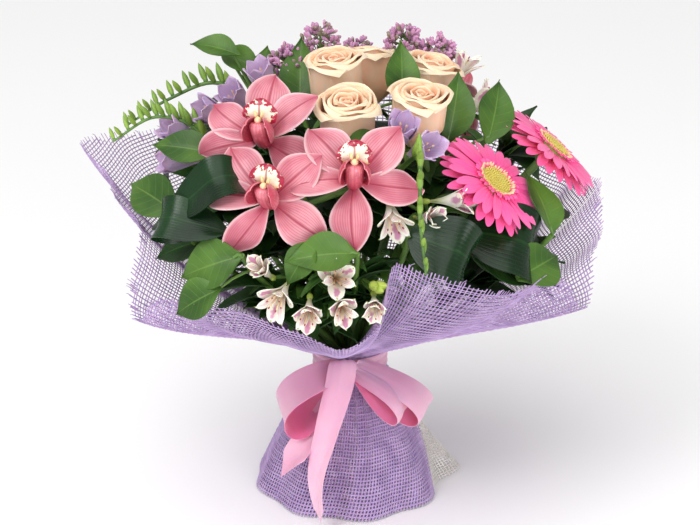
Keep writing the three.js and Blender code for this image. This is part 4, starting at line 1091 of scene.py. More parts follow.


# %% A few leaves at the sides, painted dark as shade, and all the roses and salal sprays
SHADE_PAINTED_LEAVES = {
    "salal_right": [([128, -48, 222], [70, 40], -12, [62, 36]), ([110, -90, 208], [50, 45], -38, [58, 34]),
                    ([142, -16, 230], [90, 45], 4, [58, 32]), ([98, -58, 206], [60, 50], -60, [60, 38])],
    "salal_left": [([-130, -40, 232], [-70, 45], 190, [60, 34]), ([-116, -72, 218], [-50, 45], 215, [58, 34]),
                   ([-138, -8, 240], [-90, 45], 178, [56, 32])]}

for name in ROSES:
    rose_bloom(name)
    rose_stem(name)
for name in SALALS:
    salal_spray(name)

# %% [markdown]
# ## Folded leaves
#
# Aspidistra leaves are long, dark and glossy. A florist folds each one over into a loop, so both of its
# faces and its ribs show. A Simple Deform modifier could bend a flat leaf, but it would bend all of it
# alike. With the formula of the other leaves the sheet keeps straight at first and then turns right over.

# %% Folded leaves
def aspidistra(name):
    at, aim, roll, (length, width) = ASPIDISTRAS[name]
    place = frame_at(at, aim, roll)
    sheet = blade(34, 10, 0.7, 1.2, length=length, width=width, root=0.2, lean=0.9, full=0.6,
                  bend=(22, -175), late=0.42, cup=0.12, wave=1.2, waves=2, grooves=0.12)
    parts = [part(stem(name, 2.2), STEM, 0.8), part(sheet.placed(place), ASPIDISTRA, rng.random())]
    make_piece(name + "_folded", parts, [name + "_leaf"])


for name in ASPIDISTRAS:
    aspidistra(name)

# %% [markdown]
# ## Orchids
#
# A cymbidium has five fleshy tepals in a star, a column that bends forward over the middle, and a lip
# with a ruffled lobe between two upright ones. The lip is what pollinators land on, so it has the
# boldest markings: crimson blotches at the margin and two yellow ridges. The whole flower could be
# sculpted, but with two kinds of each tepal and a random roll no two flowers come out alike.

# %% Model the parts of an orchid once
def tepal(length, width, bend, twist, seed):
    return blade(16, 10, 1.0, 1.4, length=length, width=width, root=0.2, lean=1.18, full=0.95, bend=bend,
                 cup=0.34, crease=-0.24, wave=1.4, waves=1.7, twist=twist, seed=seed)


broad_tepals = [tepal(50, 32, (34, -40), 0.35, 0), tepal(50, 30, (44, -26), -0.4, 1)]
slim_tepals = [tepal(50, 24, (48, -52), 0.6, 2), tepal(50, 24, (36, -46), -0.55, 3)]
lip_middle = blade(16, 14, 0.9, 1.5, length=24, width=24, root=0.6, lean=1.1, full=0.45, bend=(96, -8),
                   cup=-0.15, wave=1.5, waves=3.4)
LIP_SIDE_KNOTS = [(5, -3, 4), (8, 4, 8), (9.8, 11, 10.5), (10, 17, 9.5), (8.8, 22, 6.5), (7, 24, 1.4)]
lip_side = sheet_shape(12, 8, cup_form(LIP_SIDE_KNOTS, 1.1, ripple=0.4), 0.8, 1.2)
print("orchid tepals modelled:", len(broad_tepals + slim_tepals))

# %% The star of tepals with the column in its middle
# The column's path is given as steps out towards the lip and up, its radius at shares of its length.
COLUMN_PATH = [(0, -11), (0, -3), (1, 6), (3, 12), (5.5, 16), (7, 17)]
COLUMN_SHARES, COLUMN_RADII = [0, 0.2, 0.55, 0.8, 0.95, 1], [5, 6.6, 6, 6.2, 4.4, 2]


def orchid_star(name):
    at, aim, tepals, lip, _ = ORCHIDS[name]
    place = frame_at(at, aim)
    parts = []
    for k, angle in enumerate(tepals):
        broad = k in (0, 1, 4)
        kind = broad_tepals if broad else slim_tepals
        here = spoke(place, angle, 1, -7 if broad else -4) @ turn_x(rng.uniform(-20, 20))
        parts.append(part(kind[k % 2].placed(here), ORCHID_TEPAL, rng.random()))
    away = np.array([math.cos(math.radians(lip)), math.sin(math.radians(lip))])
    steps = np.linspace(0, 1, 12)
    column = smooth_curve([[*(out * away), high] for out, high in COLUMN_PATH], steps)
    spine = np.array([carried(place, point) for point in column])
    radii = np.interp(steps, COLUMN_SHARES, COLUMN_RADII)
    parts.append(part(tube(spine, radii, 14), THROAT_RED, 0.5))
    parts.append(part(bud(spine[-2], spine[-1] - spine[-3], 5, 2.6, 10), RING_FLORET, 1.0))
    make_piece(name + "_petals", parts, [name + "_tepals"])


# %% The lip with its side lobes, its two ridges and the ramp that joins them
LIP_OUT = 7.5  # how far from the flower's middle the lip begins
RIDGE_PATH = [(0, 0, 0), (1.6, 0, 6), (3.6, 0, 11), (7, 0, 14)]
RIDGE_RADII = [0.8, 1.2, 1.4, 1.4, 1.4, 1.3, 1.2, 1, 0.5]


def orchid_lip(name):
    at, aim, _, lip, _ = ORCHIDS[name]
    place = frame_at(at, aim)
    parts = [part(lip_middle.placed(spoke(place, lip, 8, 4)), ORCHID_LIP, 0.5)]
    for turn in (-64, 64):
        lobe = lip_side.placed(place @ turn_z(lip + turn) @ shift(0.5, 0, 0))
        parts.append(part(lobe, THROAT_RED, 0.5, THROAT_PINK))
    for turn in (-10, 10):
        ridge = [carried(spoke(place, lip + turn, LIP_OUT, 5), point) for point in RIDGE_PATH]
        line = smooth_curve(ridge, np.linspace(0, 1, len(RIDGE_RADII)))
        parts.append(part(tube(line, RIDGE_RADII, 8), RING_FLORET, 1.0))
    turns = np.radians([lip + turn for turn in (-55, -28, 0, 28, 55)])
    ramp = [carried(place, [LIP_OUT * math.cos(turn), LIP_OUT * math.sin(turn), 4]) for turn in turns]
    parts.append(part(tube(ramp, 1.8, 8), THROAT_RED, 0.5))
    make_piece(name + "_lips", parts, [name + "_lip"])


# %% The flower spikes that carry the orchids, and all the orchids
STAR_DEPTH = 12  # from an orchid's middle back to the end of its stalk


def orchid_spike(name):
    end = np.array(SPIKES[name][0], float)
    parts = [part(stem("spike_" + name), STEM, 0.4)]
    for at, aim, _, _, spike in ORCHIDS.values():
        if spike == name:
            base = seat(at, aim, STAR_DEPTH)
            path = smooth_curve([end, seat(base, aim, 14), base], np.linspace(0, 1, 9))
            parts.append(part(tube(path, 2.2, 8), STEM, 0.2))
    make_piece("orchid_stalk_" + name, parts, ["orchid_spike_" + name])


for name in ORCHIDS:
    orchid_star(name)
    orchid_lip(name)
for name in SPIKES:
    orchid_spike(name)

# %% [markdown]
# ## Gerberas
#
# What looks like one flower is hundreds. Each coloured ray is a floret with a strap of its own, in rows
# that overlap like tiles, and the disc is packed with small tubes in the spiral that every daisy has.
# One textured disc would do from far off, but here each tube has its own shadow. The golden angle from
# one tube to the next gives the spiral.

# %% Model three rays of each row
# Each row: count, length, width, bend, height, distance from the middle, tint
RAY_ROWS = [(25, 36, 8.4, (0, -16), -3.0, 8, 0.2), (25, 34, 8.2, (9, -8), -0.8, 8, 0.6),
            (30, 9, 2.6, (26, 0), 1.0, 10.5, 0.0)]
ray_rows = [[blade(10, 6, 0.5, 1.8, length=length, width=width, root=0.35, lean=1.7, full=0.5,
                   bend=(bend[0] + 3 * seed, bend[1] - 4 * seed), cup=0.08, grooves=0.3, wave=0.3, seed=seed)
             for seed in range(3)] for _, length, width, bend, _, _, _ in RAY_ROWS]

print("gerbera rays modelled:", sum(map(len, ray_rows)))

# %% The wheel of rays, on a flat green cup
RAY_CUP = [(0, -4), (8, -4), (14, -1), (12.5, 2), (0, 2)]


def gerbera_rays(name):
    place = frame_at(*GERBERAS[name])
    parts = [part(turned(RAY_CUP, 20, place), BUD_GREEN, 0.4)]
    for (count, _, _, _, height, radius, tint), kinds in zip(RAY_ROWS, ray_rows):
        for k in range(count):
            turn = 360 * (k + rng.uniform(-0.22, 0.22)) / count + 40 * height
            here = spoke(place, turn, radius, height + rng.uniform(-0.5, 0.5))
            here = here @ turn_x(rng.uniform(-9, 9))
            ray = kinds[rng.integers(3)].placed(here, rng.uniform(0.94, 1.02))
            parts.append(part(ray, GERBERA_RAY, share_of(tint + rng.uniform(-0.15, 0.3))))
    make_piece(name + "_petals", parts, [name + "_rays"])


# %% The disc: short tubes in a spiral, and a ring of longer florets round them
GOLDEN_ANGLE = 137.508
DISC_FORM = [(0, 0), (11, 0), (12.6, 1.6), (10.8, 3), (5, 3.2), (0, 2.4)]
DISC_TUBES, TUBES_R, RING_FLORETS = 130, 10.6, 60


def gerbera_disc(name):
    place = frame_at(*GERBERAS[name])
    parts = [part(turned(DISC_FORM, 20, place), DISC_FLORET, 0)]
    for k in range(DISC_TUBES):
        radius = TUBES_R * math.sqrt((k + 0.5) / DISC_TUBES)
        here = spoke(place, GOLDEN_ANGLE * k, radius, 2.2 + 0.7 * (radius / 10) ** 2)
        lean = here[:3, :3] @ [0.25 * radius / 9, 0, 1]
        parts.append(part(bud(here[:3, 3], lean, 1.9, 0.6, 5), DISC_FLORET, radius / 9))
    for k in range(RING_FLORETS):
        here = spoke(place, GOLDEN_ANGLE * k, 11.4 + 1.8 * rng.random(), 1.4)
        lean = here[:3, :3] @ [0.8, 0, 1]
        parts.append(part(bud(here[:3, 3], lean, rng.uniform(3, 4.4), 0.75, 5), RING_FLORET, rng.random()))
    make_piece(name + "_florets", parts, [name + "_disc"])


# %% The bare green stem with its cup, and all the gerberas
STEM_CUP = [(0, -9), (3, -8.5), (5.5, -6), (8, -1), (8, 0.5), (0, 2.2)]


def gerbera_stem(name):
    at, aim = GERBERAS[name]
    cup = turned(STEM_CUP, 16, frame_at(seat(at, aim, GERBERA_DEPTH), aim))
    parts = [part(stem(name, 3), STEM, 0.2), part(cup, STEM, 0.4)]
    make_piece(name + "_stalk", parts, [name + "_stem"])


for name in GERBERAS:
    gerbera_rays(name)
    gerbera_disc(name)
    gerbera_stem(name)

# %% [markdown]
# ## Freesias
#
# A freesia's stem arches over, and its buds stand on it in a comb: the nearest open first. The open
# flower is a funnel of six petals on a narrow tube. A turned funnel would be quicker to make, but its
# rim would be a plain ring, so the funnel is wound from single petals, as the roses are.

# %% One open funnel: six petals, three stamens and a green calyx
FUNNEL_KNOTS = [(0.8, -37, 0.9), (1.8, -29, 2.0), (3.4, -21, 4.0), (6.2, -12, 7.2), (8.6, -4, 8.2),
                (9.8, 3, 6.2), (10.8, 8, 0.4)]
STAMEN_R = 0.35


def funnel_petal(k):
    knots = np.array(FUNNEL_KNOTS) * [1 - 0.14 * k, 1, 1]
    return sheet_shape(12, 8, cup_form(knots, 1.15, ripple=0.7, seed=k), 0.5, 1.3)


funnel_petals = [funnel_petal(k) for k in range(2)]


def funnel(at, aim):
    place = frame_at(at, aim)
    parts = [part(funnel_petals[k % 2].placed(place @ turn_z(60 * k)), FREESIA_IN, rng.random(), FREESIA_OUT)
             for k in range(6)]
    for turn in (0, 120, 240):
        base = spoke(place, turn, 1.2, -14)
        foot, tip = base[:3, 3], carried(base, [1.2, 0, 12])
        parts.append(part(tube([foot, tip], STAMEN_R, 5), RING_FLORET, 1))
        parts.append(part(bud(tip, tip - foot, 4, 0.8, 6), RING_FLORET, 1))
    return parts


# %% A freesia: its arch, its funnels and the comb of buds
COMB_BUDS = 14
COMB_START, COMB_RUN = 0.24, 0.75  # shares of the arch
FUNNEL_DEPTH, CALYX_DEPTH = 32, 38  # from a funnel's mouth back to its stalk and to its calyx's foot


def freesia(name):
    funnels, spike = FREESIAS[name]
    arch = smooth_curve(spike, np.linspace(0, 1, 25))
    parts = [part(stem(name, 2), STEM, 0.2), part(tube(arch, np.linspace(2, 0.8, 25), 8), STEM, 0.1)]
    for k, (at, aim) in enumerate(funnels):
        parts += funnel(at, aim)
        back = seat(at, aim, FUNNEL_DEPTH)
        start = smooth_curve(spike, [0.02 + 0.1 * k])[0]
        parts.append(part(tube([start, (start + back) / 2 + [0, 0, 1], back], 1.6, 6), STEM, 0.3))
        parts.append(part(bud(seat(at, aim, CALYX_DEPTH), facing(aim), 13, 2.8, 8), BUD_GREEN, 0.5))
    for k in range(COMB_BUDS):
        share = COMB_START + COMB_RUN * k / (COMB_BUDS - 1)
        start, ahead = smooth_curve(spike, [share, share + 0.01])
        lean = unit(unit(ahead - start) * 0.45 + [0, 0.5 if k % 2 else -0.5, 1.0])
        size = 1 - 0.4 * k / (COMB_BUDS - 1)
        parts.append(part(bud(start, lean, 18 * size, 2.7 * size, 8), BUD_GREEN, rng.random()))
        parts.append(part(bud(start, lean, 6 * size, 2.0 * size, 6), STEM, 0.2))
    make_piece(name + "_flowers", parts, [name + "_spray"])


for name in FREESIAS:
    freesia(name)

# %% [markdown]
# ## Lilac
#
# The lilac is in tight bud: many thin twigs leave the axis, each with a handful of round mauve buds. A
# round bump texture on a cone would look like a raspberry from near by, so every bud is a small mesh of
# its own. Its rings are few, because there are hundreds.

# %% Lilac
TINY_SWELL = [(0, 0.35), (0.4, 0.9), (0.8, 1), (1, 0.25)]
TWIGS, BUDS_ON_TWIG, GREEN_SHARE = 26, 8, 0.22
PANICLE_START, PANICLE_RUN, PANICLE_FADE = 0.42, 0.56, 0.62  # shares of the axis
PANICLE_R = 17  # the widest reach of its twigs


def lilac_twig(base, away, along, reach):
    tip = base + unit(away + 0.5 * along) * reach * 0.75
    parts = [part(tube([base, (base + tip) / 2 + along * 0.6, tip], 0.45, 5), STEM, 0.4)]
    for _ in range(BUDS_ON_TWIG):
        lean = unit(away + 0.8 * along + rng.normal(0, 0.8, 3))
        spot = tip + lean * rng.uniform(-1, 2.4)
        look = LILAC_GREEN if rng.random() < GREEN_SHARE else LILAC_BUD
        size = rng.uniform(0.8, 1.25)
        parts.append(part(bud(spot, lean, 5.6 * size, 1.3 * size, 5, TINY_SWELL), look, rng.random()))
    return parts


def lilac(name):
    joint, tips = LILACS[name]
    parts = [part(stem(name, 2), STEM, 0.5)]
    for tip in tips:
        start, end = np.array(joint, float), np.array(tip, float)
        axis = end - start
        along = unit(axis)
        side = unit(np.cross(axis, [1, 0.3, 0]))
        other = np.cross(along, side)
        path = [start + axis * s for s in np.linspace(0, 0.97, 7)]
        parts.append(part(tube(path, np.linspace(1.8, 0.8, 7), 7), STEM, 0.6))
        for k in range(TWIGS):
            share = PANICLE_START + PANICLE_RUN * k / (TWIGS - 1)
            turn = math.radians(GOLDEN_ANGLE * k + rng.uniform(-15, 15))
            away = math.cos(turn) * side + math.sin(turn) * other
            reach = PANICLE_R * (1 - ((share - PANICLE_START) / PANICLE_FADE) ** 2) + 2
            parts += lilac_twig(start + axis * share, away, along, reach)
    make_piece(name + "_buds", parts, [name + "_panicle"])


for name in LILACS:
    lilac(name)

# %% [markdown]
# ## Alstroemerias
#
# Six tepals in two kinds: three broad ones with a magenta blotch and a green tip, and three narrower
# ones with dark dashes that lead insects in. Thin curved stamens stand between them. One floret could
# be modelled and copied, but a spray of equal florets looks like plastic, so three kinds of tepal pairs,
# from wide open to nearly shut, are mixed and each floret is turned a little at random.

# %% Model the tepals and the narrow leaf
OUTER_KNOTS = [(0.8, -30, 0.8), (1.8, -23, 1.8), (4.0, -15, 3.4), (7.6, -8, 5.6), (11.6, -2, 6.2),
               (15, 2, 4.2), (17, 4, 0.3)]
INNER_KNOTS = [(0.7, -30, 0.8), (1.5, -22, 1.4), (3.2, -13, 2.2), (6, -5, 3.4), (9, 1, 3.8),
               (12, 4.4, 2.6), (14.4, 6, 0.3)]


def tepal_pair(open_share, seed):
    """One outer and one inner tepal; open_share 1 is wide open, less is more of a tube."""
    spread = [open_share, 1, 1]
    return [sheet_shape(12, 6, cup_form(np.array(knots) * spread, 1.2, ripple=0.9, seed=seed + k), 0.5, 1.3)
            for k, knots in enumerate((OUTER_KNOTS, INNER_KNOTS))]


floret_kinds = [tepal_pair(0.85, 0), tepal_pair(0.66, 2), tepal_pair(0.5, 4)]
narrow_leaf = blade(14, 4, 0.5, 1.4, length=46, width=11, root=0.3, lean=0.85, full=0.9, bend=(30, -50),
                    cup=0.2, crease=0.1, wave=0.6)

print("tepals modelled:", sum(map(len, floret_kinds)))

# %% One floret and one cluster of buds
STAMEN_PATH = [(0, 0, 0), (1.6, 0, 9), (4, 0, 17)]
AIM_JITTER, RISE_JITTER, ROLL_JITTER = 16, 14, 25  # degrees
FLORET_DEPTH, OVARY_DEPTH = 29, 33  # from a floret's face back to its stalk and to its ovary's foot


def floret(hub, at, aim, tepals):
    aim = [aim[0] + rng.uniform(-AIM_JITTER, AIM_JITTER), aim[1] + rng.uniform(-RISE_JITTER, RISE_JITTER)]
    place = frame_at(at, aim, rng.uniform(-ROLL_JITTER, ROLL_JITTER))
    parts = []
    for k in range(6):
        turn = turn_z(60 * k + 30 + rng.uniform(-14, 14))
        shape = tepals[k % 2].placed(place @ turn @ shift(0, 0, rng.uniform(-2, 2)), rng.uniform(0.85, 1.08))
        parts.append(part(shape, (ALSTRO_OUTER, ALSTRO_INNER)[k % 2], rng.random()))
    for k in range(6):
        base = spoke(place, 60 * k, 0.8, -16)
        path = smooth_curve([carried(base, point) for point in STAMEN_PATH], np.linspace(0, 1, 5))
        parts.append(part(tube(path, STAMEN_R, 5), RING_FLORET, 1))
        parts.append(part(bud(path[-1], path[-1] - path[-2], 2.4, 0.55, 6), THROAT_DARK, 0))
    foot = seat(at, aim, FLORET_DEPTH)
    parts.append(part(bud(seat(at, aim, OVARY_DEPTH), facing(aim), 9, 2.3, 8), BUD_LIME, 0.5))
    parts.append(part(tube([hub, (hub + foot) / 2 + [0, 0, 1.2], foot], 1.3, 6), STEM, 0.3))
    return parts


def bud_cluster(hub, tip):
    along = unit(tip - hub)
    parts = [part(tube([hub, tip - 14 * along], 1.2, 6), STEM, 0.3)]
    for side in (-1, 0, 1):
        lean = unit(along + np.array([0.35 * side, 0, 0.25 * abs(side)]))
        parts.append(part(bud(tip - 15 * along, lean, 16, 3.6, 10), BUD_LIME, 0.8))
    return parts


# %% The sprays of alstroemeria
def alstroemeria(name):
    joint, florets, buds = ALSTROEMERIAS[name]
    hub = np.array(joint, float)
    parts = [part(stem(name, 2), STEM, 0.3)]
    for number, (at, aim) in enumerate(florets):
        parts += floret(hub, at, aim, floret_kinds[(number + len(name)) % len(floret_kinds)])
    for tip in buds:
        parts += bud_cluster(hub, np.array(tip, float))
    for turn in (-60, 60):
        place = frame_at(hub, [outward(hub)[0], 80], turn - 90)
        parts.append(part(narrow_leaf.placed(place), NARROW_LEAF, rng.random()))
    parts += [part(leaf, NARROW_LEAF, rng.random())
              for leaf in fillers(name, [narrow_leaf], ALSTROEMERIA_FILLERS, (0.5, 1.0))]
    make_piece(name + "_flowers", parts, [name + "_spray"])


for name in ALSTROEMERIAS:
    alstroemeria(name)
print("triangles so far:", totals["triangles"])

# %% [markdown]
# ## The net wrap
#
# The wrap is an open net of lilac paper yarn. An image with holes in it would be cheap, but from near by
# a net is thick and its yarns cross. Its threads are real here: warps run up from the waist to the cut
# edge, and wefts run round, one row outside the warps and the next inside. Where the cloth is gathered
# at the waist the same warps come close together, which is why it looks solid there and opens out
# towards the rim. The wefts keep their distance, and stop where the cut edge is.

# %% Threads along many paths at once
def thread_shape(path, normals, width, thick):
    """A flat yarn: four-sided, wider along the cloth than through it."""
    tangents = np.gradient(path, axis=0)
    tangents /= np.linalg.norm(tangents, axis=1, keepdims=True) + 1e-9
    across = np.cross(normals, tangents)
    across /= np.linalg.norm(across, axis=1, keepdims=True) + 1e-9
    face = np.cross(tangents, across)
    rings = np.stack([path + across * width / 2, path + face * thick / 2,
                      path - across * width / 2, path - face * thick / 2], 1)
    run = np.concatenate([[0], np.cumsum(np.linalg.norm(np.diff(path, axis=0), axis=1))])
    return ring_shape(rings, run * 0.1)


def runs(mask):
    """Start and end of each unbroken run of true values."""
    edges = np.flatnonzero(np.diff(np.concatenate([[0], mask.astype(int), [0]])))
    return zip(edges[::2], edges[1::2])


# %% Weaving a cloth on a curved surface
WARP_STEP, WEFT_STEP = 3, 2  # a thread bends at every third weft or every second warp
OVER = 0.45                  # of a yarn's thickness: how far wefts lie outside or inside the warps


def woven(surface, warps, pitch, yarn, closed, stop, loose=0.0):
    """surface(u, a) gives points for shares round and millimetres along; stop(u) is the cut edge."""
    u = (np.arange(warps) + 0.5) / warps
    ends = stop(u)
    rows = int(ends.max() / pitch) + 1
    a = np.arange(rows + 1) * pitch
    uu, aa = np.meshgrid(u, a)
    aa = np.minimum(aa, ends)
    points = surface(uu, aa)
    east = surface(uu + 0.002, aa) - surface(uu - 0.002, aa)
    north = surface(uu, aa + 0.5) - surface(uu, aa - 0.5)
    normals = np.cross(east, north)
    normals /= np.linalg.norm(normals, axis=2, keepdims=True) + 1e-9
    shapes = []
    for j in range(warps):
        keep = np.flatnonzero(a < ends[j] - 1)[::WARP_STEP]
        tip = surface(u[j:j + 1], ends[j:j + 1] + loose * rng.random())
        path = np.vstack([points[keep, j], tip])
        shapes.append(thread_shape(path, np.vstack([normals[keep, j], normals[keep[-1], j]]), *yarn))
    for i in range(rows + 1):
        mask = a[i] < ends - 0.5
        if closed and mask.all():
            spans = [np.arange(0, warps + 1, WEFT_STEP) % warps]
        else:
            spans = [np.append(np.arange(start, end - 1, WEFT_STEP), end - 1)
                     for start, end in runs(mask) if end - start > WEFT_STEP]
        over = (OVER if i % 2 else -OVER) * yarn[1]
        for order in spans:
            path = points[i, order] + normals[i, order] * over
            shapes.append(thread_shape(path, normals[i, order], *yarn))
    return shapes


# %% The collar: from the waist up to the wavy rim
WAIST_RUN = COLLAR_FOOT - SKIRT_TOP  # straight part of the warps behind the ribbon
COLUMNS, STEPS = 280, 60             # how finely the warps are measured, round and along
GATHER_DEPTH, GATHER_FADE = 2.6, 46  # the folds at the waist, and how far above it they fade
RIM_RIPPLES, RIPPLE_DEPTH = 23, 1.4
fine_u = np.linspace(0, 1, COLUMNS + 1)
fine_w = np.linspace(0, 1, STEPS + 1)
fine = collar_bezier(*np.meshgrid(fine_u, fine_w))
steps_run = np.cumsum(np.linalg.norm(np.diff(fine, axis=0), axis=2), axis=0)
fine_run = np.vstack([np.zeros(COLUMNS + 1), steps_run])
usual_run = fine_run.mean(1) / fine_run.mean(1)[-1]
rim_run = fine_run[-1]


def collar(u, a):
    """Along is measured from the waist's lower edge: straight up at first, then out to the rim."""
    column = (u % 1) * COLUMNS
    low = np.floor(column).astype(int) % COLUMNS
    rest = column - np.floor(column)
    total = rim_run[low] * (1 - rest) + rim_run[low + 1] * rest
    share = (a - WAIST_RUN) / total
    w = np.interp(share, usual_run, fine_w) + np.maximum(share - 1, 0)
    base = collar_bezier(u, np.maximum(w, 0))
    base[..., 2] = np.where(share < 0, SKIRT_TOP + a, base[..., 2])
    fade = np.exp(-np.maximum(a - WAIST_RUN, 0) / GATHER_FADE)
    fold = fade * GATHER_DEPTH * np.cos(2 * np.pi * GATHERS * u)
    ripple = RIPPLE_DEPTH * np.sin(2 * np.pi * RIM_RIPPLES * u + 0.9) * np.clip(share, 0, 1)
    away = base[..., :2] / (np.linalg.norm(base[..., :2], axis=-1, keepdims=True) + 1e-9)
    squeeze = np.clip((a - WAIST_RUN + 2) / 12, 0.25, 1)
    base[..., :2] += away * (fold * squeeze + ripple)[..., None]
    return base


def collar_edge(u):
    return WAIST_RUN + np.interp(u % 1, fine_u, rim_run)


COLLAR_WARPS = 360
NET_PITCH, NET_YARN = 2.8, (0.92, 0.62)  # from weft to weft, and the yarn's width and thickness
collar_threads = woven(collar, COLLAR_WARPS, NET_PITCH, NET_YARN, True, collar_edge, loose=3.0)
print("collar threads:", len(collar_threads))

# %% [markdown]
# A cut net frays: here and there a yarn has slipped out and stands away from the edge. A few dozen of
# these loose ends make the rim look cut from cloth, and no longer printed.

# %% Loose ends of yarn at the rim
LOOSE_ENDS = 90


def loose_end(u, length, swing):
    """A yarn that leaves the rim at a share round it and falls in a curve."""
    edge = collar_edge(np.array([u]))
    start = collar(np.array([u]), edge - 6)[0]
    tip = collar(np.array([u]), edge)[0]
    along = unit(tip - start)
    side = unit(np.cross(along, [0, 0, 1]))
    path = [start, tip, tip + along * length * 0.5 + side * swing * 0.3,
            tip + along * length * 0.85 + side * swing - np.array([0, 0, length * 0.12])]
    return tube(smooth_curve(path, np.linspace(0, 1, 10)), np.linspace(0.4, 0.2, 10), 4)


for _ in range(LOOSE_ENDS):
    collar_threads.append(loose_end(rng.random(), rng.uniform(2, 7), rng.uniform(-3, 3)))

# %% [markdown]
# The skirt is the same cloth below the waist. It is open on its right, where its two edges don't quite meet.
# One layer would be seen through, but the real skirt is dense, because the wrap is doubled there: so a second
# layer lies inside the first, and their threads cross in a moire. The inner layer is the same net, but its
# yarn is painted darker, which is painted shade. A finer off-white net lines both and comes out through the
# slit.

# %% The skirt in two layers, and the lining
SKIRT_RUN = 110  # from the waist to the table, along the cloth
OUTER_WARPS, INNER_WARPS, LINING_WARPS = 150, 120, 200
LINING_PITCH, LINING_YARN = 2.2, (0.8, 0.5)
OUTER_YARN = (1.15, 0.7)
SKIRT_WAVES, WAVE_DEPTH = 9, 2.2
SLIT_AT, OPENS_BACK, OPENS_FRONT = 90, 32, 26  # degrees: the slit, and how far its edges part below
SLIT_BULGE = 20  # how far the lining comes out through the slit
FOLD_DEPTH, FOLD_FADE = 1.3, 30


def skirt_radius(z):
    share = np.maximum(0, (SKIRT_TOP - z) / SKIRT_TOP) ** 0.88
    return WAIST_R + (SKIRT_R - WAIST_R) * share


def skirt(inset, phase):
    """inset is how far the layer lies inside the outer one: at the waist, and how much more below."""
    def surface(u, a):
        share = np.clip(a / SKIRT_RUN, 0, 1.2)
        z = np.maximum(SKIRT_TOP * (1 - share), 0.6)
        back_edge = SLIT_AT + OPENS_BACK * share**2
        front_edge = SLIT_AT + 360 - OPENS_FRONT * share**2
        degrees = back_edge * (1 - u) + front_edge * u
        wavy = WAVE_DEPTH * share * np.sin(SKIRT_WAVES * np.radians(degrees))
        fold = FOLD_DEPTH * np.exp(-a / FOLD_FADE) * np.cos(2 * np.pi * GATHERS * u)
        fold = fold + 0.8 * share * np.sin(40 * u + phase)
        return around(degrees, skirt_radius(z) + wavy + fold - (inset[0] + inset[1] * share), z)

    return surface


def lining(u, a):
    share = np.clip(a / SKIRT_RUN, 0, 1)
    z = np.maximum(SKIRT_TOP * (1 - share), 0.5)
    degrees = 360 * u
    middle = SLIT_AT + 11 * share
    off = np.abs(degrees % 360 - middle) / (20 * share + 1)
    bulge = np.where(off < 1, SLIT_BULGE * share**2 * np.cos(np.pi / 2 * np.minimum(off, 1)) ** 2, 0)
    wavy = WAVE_DEPTH * share * np.sin(SKIRT_WAVES * np.radians(degrees)) * 0.6
    return around(degrees, skirt_radius(z) - 2.2 - 1.6 * share + bulge + wavy, z)


def hem(u):
    return np.full(len(u), SKIRT_RUN - 0.5)


outer_skirt = woven(skirt((0, 0), 0.0), OUTER_WARPS, NET_PITCH, OUTER_YARN, False, hem)
inner_skirt = woven(skirt((1.1, 0.6), 1.3), INNER_WARPS, NET_PITCH, NET_YARN, False, hem)
lining_threads = woven(lining, LINING_WARPS, LINING_PITCH, LINING_YARN, True, hem)
print("skirt and lining threads:", len(outer_skirt + inner_skirt), len(lining_threads))

# %% [markdown]
# Paper yarn is matt, a little uneven in colour, and twisted. The twist is finer than a mesh can show
# at this size, so slanting lines in the bump stand for it.

# %% Yarn finishes
def yarn_look(name, light, dark, tint):
    look = Look(name, Roughness=0.62, Sheen_Weight=0.3, Sheen_Roughness=0.4, Subsurface_Weight=0.1,
                Subsurface_Scale=0.001)
    along, across = look.marks()
    patchy = look.mix(look.band(look.noise(90), 0.3, 0.7), paint(dark), paint(light))
    per_thread = look.mix(look.sum("MULTIPLY", look.tint(), 0.5), patchy, paint(tint))
    slanted = look.sum("ADD", along, look.sum("MULTIPLY", across, 0.1))
    twist = look.sum("SINE", look.sum("MULTIPLY", slanted, 90.0))
    grooves = look.band(twist, -0.2, 0.9)
    look.set("Base Color", look.mix(look.sum("MULTIPLY", grooves, 0.25), per_thread, paint(light)))
    look.bump(grooves, 0.4, 0.12)
    return look.material


LILAC_YARN = yarn_look("lilac_yarn", "#bfa4d0", "#9a7fb0", "#ac90be")
# The inner skirt's yarn: the same lilac net, painted darker as painted shade
PAINTED_SHADE_YARN = yarn_look("painted_shade_yarn", "#8a72ac", "#68558a", "#78629a")
WHITE_YARN = yarn_look("white_yarn", "#ece6e0", "#cfc8c2", "#e0d9d3")
JUTE = yarn_look("jute_twine", "#c2a06a", "#8c6c3e", "#a98552")

# %% The three pieces of net
def threads(shapes, look):
    return [part(shape, look, rng.random()) for shape in shapes]


collar_piece = make_piece("net_collar", threads(collar_threads, LILAC_YARN), ["net_wrap"])
skirt_parts = threads(outer_skirt, LILAC_YARN) + threads(inner_skirt, PAINTED_SHADE_YARN)
skirt_piece = make_piece("net_skirt", skirt_parts, ["net_wrap"])
lining_parts = threads(lining_threads, WHITE_YARN)
lining_piece = make_piece("net_lining_weave", lining_parts, ["net_lining"])

# %% [markdown]
# ## The ribbon
#
# One satin ribbon goes round the waist and is tied in front: a knot, three loops and two tails. A cloth
# simulation could let the loops fall, but the knot's pull would have to be guessed and tried for hours,
# so each part is a strip laid along a path. It is pinched and ripples where the knot holds it.

